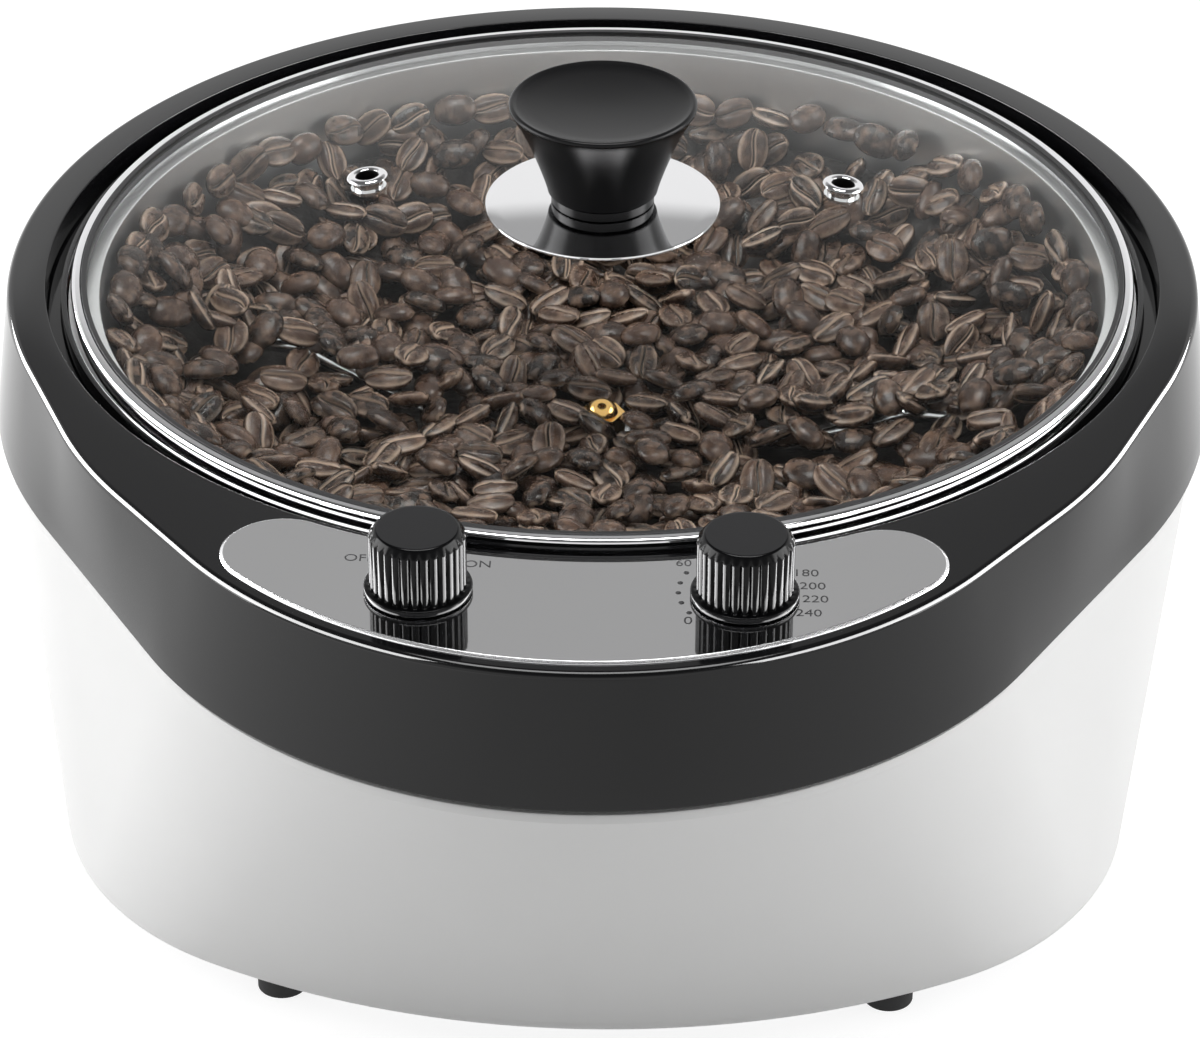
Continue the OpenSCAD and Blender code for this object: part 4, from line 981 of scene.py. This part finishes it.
dice = np.random.default_rng(11)
bean_kinds = [bean_form(dice) for _ in range(10)]
print("bean kinds:", len(bean_kinds), "faces in one:", len(bean_kinds[0][1]))

# %% [markdown]
# ## How the beans lie
# The stirrer pushes beans outwards, so the bed is low and level round the hub and climbs at the
# wall. Dropping a thousand beans with rigid body physics would also work, but takes long and is hard
# to steer. Scattering is quicker: spots are thrown at random and kept only where they are far enough
# from the others. A ring of beans along the wall comes first, then the top layer inside it, then a
# lower layer in its gaps. The bed is a little lower at the back, and heaps lie over the rods.

# %% Bed of beans
BED_LOW, BED_RISE, BED_EDGE, BED_POWER, BACK_DIP = 97.0, 34.0, 130.0, 5, 6.5
ROD_TURN, HEAP_W = 10, 13
# Each heap over a rod: its side, its height, and its first and last radius.
HEAPS = ((-1, 8.5, 52, 118), (1, 8.0, 50, 86), (1, 4.0, 86, 116))


def bed_height(x, y):
    """Height of the middle of the top layer, in millimetres, with the heaps over the stirrer's rods."""
    out = math.hypot(x, y)
    rise = BED_RISE - BACK_DIP * max(0.0, y / max(out, 1.0)) ** 2
    level = BED_LOW + rise * (out / BED_EDGE) ** BED_POWER
    for side, heap_h, inner_r, outer_r in HEAPS:
        rod = side * Vector(on_circle(0, 0, 1, -ROD_TURN))
        along = min(max(rod.dot((x, y)), inner_r), outer_r)
        level += heap_h * math.exp(-((Vector((x, y)) - along * rod).length / HEAP_W) ** 2)
    return level


def scatter(dice, wanted, gap, inner, out, avoid, avoid_gap):
    """Random spots in a ring that keep their distance from each other and from spots to avoid."""
    thrown = wanted * 60
    reaches = np.sqrt(inner ** 2 + (out ** 2 - inner ** 2) * dice.random(thrown))
    turns = 2 * math.pi * dice.random(thrown)
    tries = np.stack((reaches * np.cos(turns), reaches * np.sin(turns)), 1)
    away = np.linalg.norm(tries[:, None] - avoid[None], axis=2).min(1)
    tries = tries[away > avoid_gap]
    spots = np.full((wanted, 2), 1e6)
    found = 0
    for spot in tries:
        if found < wanted and ((spots[:found] - spot) ** 2).sum(1).min(initial=1e9) > gap * gap:
            spots[found] = spot
            found += 1
    return spots[:found]


WALL_BEANS, WALL_R = 68, 129.4
wall_turns = (np.arange(WALL_BEANS) + 0.3 * dice.random(WALL_BEANS)) * 2 * math.pi / WALL_BEANS
wall_spots = WALL_R * np.stack((np.cos(wall_turns), np.sin(wall_turns)), 1)
inner_spots = scatter(dice, 600, gap=8.9, inner=8.5, out=126.0, avoid=wall_spots, avoid_gap=8.0)
top_spots = np.concatenate((inner_spots, wall_spots))
low_spots = scatter(dice, 600, gap=7.4, inner=10, out=128.0, avoid=top_spots, avoid_gap=4.5)
print("beans on top:", len(top_spots), "beans below:", len(low_spots))


FLAT_UP, TIP, TIP_MOST, ROLL, ROLL_MOST = 0.64, 0.30, 0.8, 0.36, 0.95


def leaned(dice, usual, most, axis):
    """A turn about an axis by a random angle, in radians, that stays under most."""
    return Matrix.Rotation(float(np.clip(usual * dice.standard_normal(), -most, most)), 3, axis)


def bean_turn(dice, x, y):
    """How one bean lies: its heading, which side is up, and a lean with the slope and at random."""
    r, outwards = math.hypot(x, y), math.atan2(y, x)
    slope = math.atan(BED_POWER * BED_RISE / BED_EDGE * (r / BED_EDGE) ** (BED_POWER - 1))
    heading = Matrix.Rotation(2 * math.pi * dice.random(), 3, "Z")
    if r > WALL_R - 0.4:
        heading = Matrix.Rotation(outwards + math.pi / 2 + 0.4 * (dice.random() - 0.5), 3, "Z")
    side_up = Matrix.Rotation(math.pi if dice.random() < FLAT_UP else 0, 3, "X")
    tip, roll = leaned(dice, TIP, TIP_MOST, "Y"), leaned(dice, ROLL, ROLL_MOST, "X")
    wall = Matrix.Rotation(outwards, 3, "Z") @ Matrix.Rotation(-0.8 * slope, 3, "Y")
    wall = wall @ Matrix.Rotation(-outwards, 3, "Z")
    return wall @ heading @ tip @ roll @ side_up


# %% [markdown]
# ## The colour of a roast
# Beans from one roast differ a little: some are darker, some have caught the heat at their edges. In
# the crease a paler skin is left, and the bottom of the crease is painted near black as painted shade.
# The rim of the flat side gets a little of the pale skin colour too, as a painted highlight. The mesh
# carries three numbers per point: how dark this bean is, how deep the point lies in the crease (small
# on the rim), and by chance how much pale skin is left. The finish mixes its browns by them, and fine
# wrinkles come from a bump.

# %% Bean finish
bean_skin, make = new_finish("roasted_bean")
tones = make.node("Attribute", {"attribute_name": "roast"}, out="Color")
parts_of = make.node("SeparateColor", None, {"Color": tones}).socket.node
roast, crease, chance = (Wire(make, parts_of.outputs[i]) for i in range(3))
blotch = make.noise(330, 3)
wrinkle = make.noise(900, 4)
brown = make.mixed(roast, rgb(0.005, 0.0028, 0.0020), rgb(0.034, 0.0185, 0.0125))
worn = make.mixed((blotch * 3.4 - 1.55).clipped() * 0.6, brown, rgb(0.150, 0.096, 0.068))
# Pale skin lies in the crease; on the flat side's rim the same pale colour is a painted highlight.
pale_skin_and_rim_highlight = make.mixed((crease * 3.2).at_most(1.0) * (chance * 0.6 + 0.15), worn, rgb(0.40, 0.30, 0.23))
# Painted shade: the bottom of the crease is painted near black.
painted_crease_shade = (crease * 2.6 - 0.9).clipped()
make.shown(make.surface(
    Base_Color=make.mixed(painted_crease_shade * 0.95, pale_skin_and_rim_highlight, rgb(0.006, 0.004, 0.0035)),
    Roughness=wrinkle * 0.22 + 0.14,
    Specular_IOR_Level=0.26,
    Normal=make.bump(wrinkle, 0.18, 0.5)))

# Painted shade: the bed under the beans is darker than the beans' own browns, as the pile's deep gaps look
# in shade.
painted_shade_skin, make = new_finish("beans_in_shadow")
lumps = make.noise(120, 3)
make.shown(make.surface(Base_Color=make.mixed(lumps, rgb(0.004, 0.003, 0.0025), rgb(0.022, 0.015, 0.012)),
                        Roughness=0.7, Normal=make.bump(lumps, 4, 0.8)))

# %% [markdown]
# A thousand separate objects would be slow to draw and to move. The beans are joined into a few
# meshes instead, and all of them ride on the stirrer, which carries them round in the real pan.

# %% Make the beans
def bean_batch(name, spots, drop):
    """One mesh with a bean on every spot; drop lowers the layer, in millimetres."""
    points, faces, tones = [], [], []
    for x, y in spots:
        kind_points, kind_faces, depths = bean_kinds[dice.integers(len(bean_kinds))]
        turn = np.array(bean_turn(dice, x, y))
        z = bed_height(x, y) - drop + 0.9 * dice.standard_normal()
        start = len(points)
        moved = kind_points @ turn.T + np.array((x, y, z))
        points += [place(*p) for p in moved.tolist()]
        faces += [tuple(start + i for i in face) for face in kind_faces]
        roast_tone, luck = dice.random(), dice.random()
        tones += [value for depth in depths for value in (roast_tone, depth, luck, 1.0)]
    mesh = bpy.data.meshes.new(name)
    mesh.from_pydata(points, [], faces)
    mesh.shade_smooth()
    mesh.color_attributes.new("roast", "FLOAT_COLOR", "POINT").data.foreach_set("color", tones)
    mesh.materials.append(bean_skin)
    piece = put_in_scene(name, mesh)
    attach(piece, "stirrer")
    print(name, "holds", len(spots), "beans and", len(faces), "faces")


BATCHES, LOW_DROP = 4, 4.2
for layer, spots, drop in (("top", top_spots, 0.0), ("low", low_spots, LOW_DROP)):
    for batch in range(BATCHES):
        bean_batch(f"beans_{layer}_{batch + 1}", spots[batch::BATCHES], drop)

# %% The bed below them, painted dark as shade
under_drop, under_t, level_r = 7.0, 3.0, 127
bed_radii = spread(15, 131, 24)
bed_profile = [(r, bed_height(0, min(r, level_r)) - under_drop) for r in bed_radii]
bed_profile += [(r, bed_height(0, min(r, level_r)) - under_drop - under_t) for r in reversed(bed_radii)]
add_piece("beans_under", turned(bed_profile, 96), [painted_shade_skin], "stirrer")

# %% [markdown]
# ## Floor and light
# The picture stands on plain white with hardly any shadow. The floor is a large pale plane that the
# camera sees as white, and that still darkens under the roaster. In gloss the floor glows unevenly,
# brighter than white on the left and dimmer in front: a painted reflection, so that the black band
# looks brighter on its left. Two soft lights at the sides model the base and the knobs, and one
# straight above fills the lid. Whiteness comes from the floor and the world, never from more light.

# %% Floor
def kinds_of_ray(make):
    """1 or 0 each: a ray of the camera, one reflected in gloss, one that has passed through glass."""
    camera_ray = make.node("LightPath", out="Is Camera Ray")
    outputs = camera_ray.socket.node.outputs
    return camera_ray, Wire(make, outputs["Is Glossy Ray"]), Wire(make, outputs["Is Transmission Ray"])


white_floor, make = new_finish("white_floor")
camera_ray, glossy_ray, clear_ray = kinds_of_ray(make)
# Painted reflection: for glossy rays the floor's glow follows X, up to 1.5 towards the left, about 0.65
# under the roaster and 0.86 to the right.
across = make.node("SeparateXYZ", None, {0: make.spot()}, out="X")
mirrored = make.node("ValToRGB", {"stops": [(0.0, (1.5, 1.5, 1.5)), (0.42, (0.72, 0.72, 0.72)),
                                            (0.56, (0.60, 0.60, 0.60)), (1.0, (0.86, 0.86, 0.86))]},
                     {0: across * 0.6 + 0.5})
glow_colour = make.mixed(glossy_ray, rgb(0.84, 0.84, 0.84), mirrored)
matt = make.node("BsdfDiffuse", None, {"Color": rgb(0.62, 0.62, 0.62)})
pale = make.node("BsdfDiffuse", None, {"Color": rgb(0.30, 0.30, 0.30)})
glow = make.node("Emission", None, {"Color": glow_colour, "Strength": 1.0})
lit = make.node("AddShader", None, {0: pale, 1: glow})
seen = (camera_ray + glossy_ray + clear_ray).at_most(1.0)
make.shown(make.node("MixShader", None, {0: seen, 1: matt, 2: lit}))

floor_half = 6
floor_corners = [(x * floor_half, y * floor_half, 0) for x, y in ((-1, -1), (1, -1), (1, 1), (-1, 1))]
floor_mesh = bpy.data.meshes.new("floor")
floor_mesh.from_pydata(floor_corners, [], [(0, 1, 2, 3)])
floor_mesh.materials.append(white_floor)
put_in_scene("floor", floor_mesh)

# %% [markdown]
# The world is white to the camera and through the glass. In gloss it is white only low down, then grey
# and at last dark overhead, as a studio's ceiling is, so that the polished pieces have something to
# show. In a world, Generated is the direction looked in, and its Z grows with the height above the
# horizon.

# %% World and lamps
GREY_FROM, DARK_FROM, AMBIENT = 0.472, 0.59, 0.27
world = bpy.data.worlds.new("white_studio")
world.use_nodes = True
bpy.context.scene.world = world
make = Finish(world.node_tree)
camera_ray, glossy_ray, clear_ray = kinds_of_ray(make)
upward = make.node("SeparateXYZ", None, {0: make.node("TexCoord", out="Generated")}, out="Z")
grey_part = ((upward - GREY_FROM) * 30).clipped()
dark_part = ((upward - DARK_FROM) * 7).clipped()
mirrored = 1 - grey_part * 0.57 - dark_part * 0.3
white_part = (camera_ray + glossy_ray * mirrored + clear_ray).at_most(1.0)
unseen = 1 - (camera_ray + glossy_ray + clear_ray).at_most(1.0)
sky = make.node("Background", None, {"Color": rgb(1, 1, 1), "Strength": white_part + unseen * AMBIENT})
make.node("OutputWorld", None, {"Surface": sky})


def soft_light(name, where, target, width, height, watts):
    lamp = bpy.data.lights.new(name, "AREA")
    lamp.shape, lamp.size, lamp.size_y, lamp.energy = "RECTANGLE", width, height, watts
    holder = put_in_scene(name, lamp)
    holder.location = where
    holder.visible_camera = False
    look_at(holder, target)
    print(name, "gives", watts, "W")
    return holder


soft_light("left_softbox", (-1.25, 0.05, 0.55), (0, 0, 0.06), 0.9, 0.8, 12.3)
soft_light("right_softbox", (1.25, 0.0, 0.55), (0, 0, 0.06), 0.9, 0.8, 11)
soft_light("top_softbox", (0.0, 0.05, 1.5), (0, 0, 0.1), 0.8, 0.6, 12)

# %% [markdown]
# The shell's crest has a radius of 2 mm only, so a large soft light shows in it as a dim, hair-thin
# line. Photographers add a long bright strip for such an edge. It would burn out the white base and
# grey the beans, so these two strips are seen in gloss only, and by the shell, the plate and the rim
# alone: a lamp's light linking names a collection of what it reaches.

# %% Strips of light for the edges
STRIP_BACK, STRIP_FRONT, STRIP_TARGET = (1.08, 0.81, 0.14), (0.61, -0.78, 0.92), Vector((0, 0, 0.14))
edged = bpy.data.collections.new("edged_pieces")
for name in ("top_shell_moulding", "control_plate", "lid_steel_rim"):
    edged.objects.link(bpy.data.objects[name])


def gleam_strip(name, side, height, watts):
    """A long strip lamp at one side, from the back to the front, that only shows in gloss."""
    start, end = (Vector((side * x, y, z)) for x, y, z in (STRIP_BACK, STRIP_FRONT))
    holder = soft_light(name, (start + end) / 2, STRIP_TARGET, (end - start).length, height, watts)
    along = (end - start).normalized()
    back = holder.location - STRIP_TARGET
    back = (back - back.dot(along) * along).normalized()
    holder.rotation_euler = Matrix((along, back.cross(along), back)).transposed().to_euler()
    holder.light_linking.receiver_collection = edged
    holder.visible_diffuse = False
    holder.visible_transmission = False


for side, name in ((-1, "left_strip"), (1, "right_strip")):
    gleam_strip(name, side, 0.50, 70)
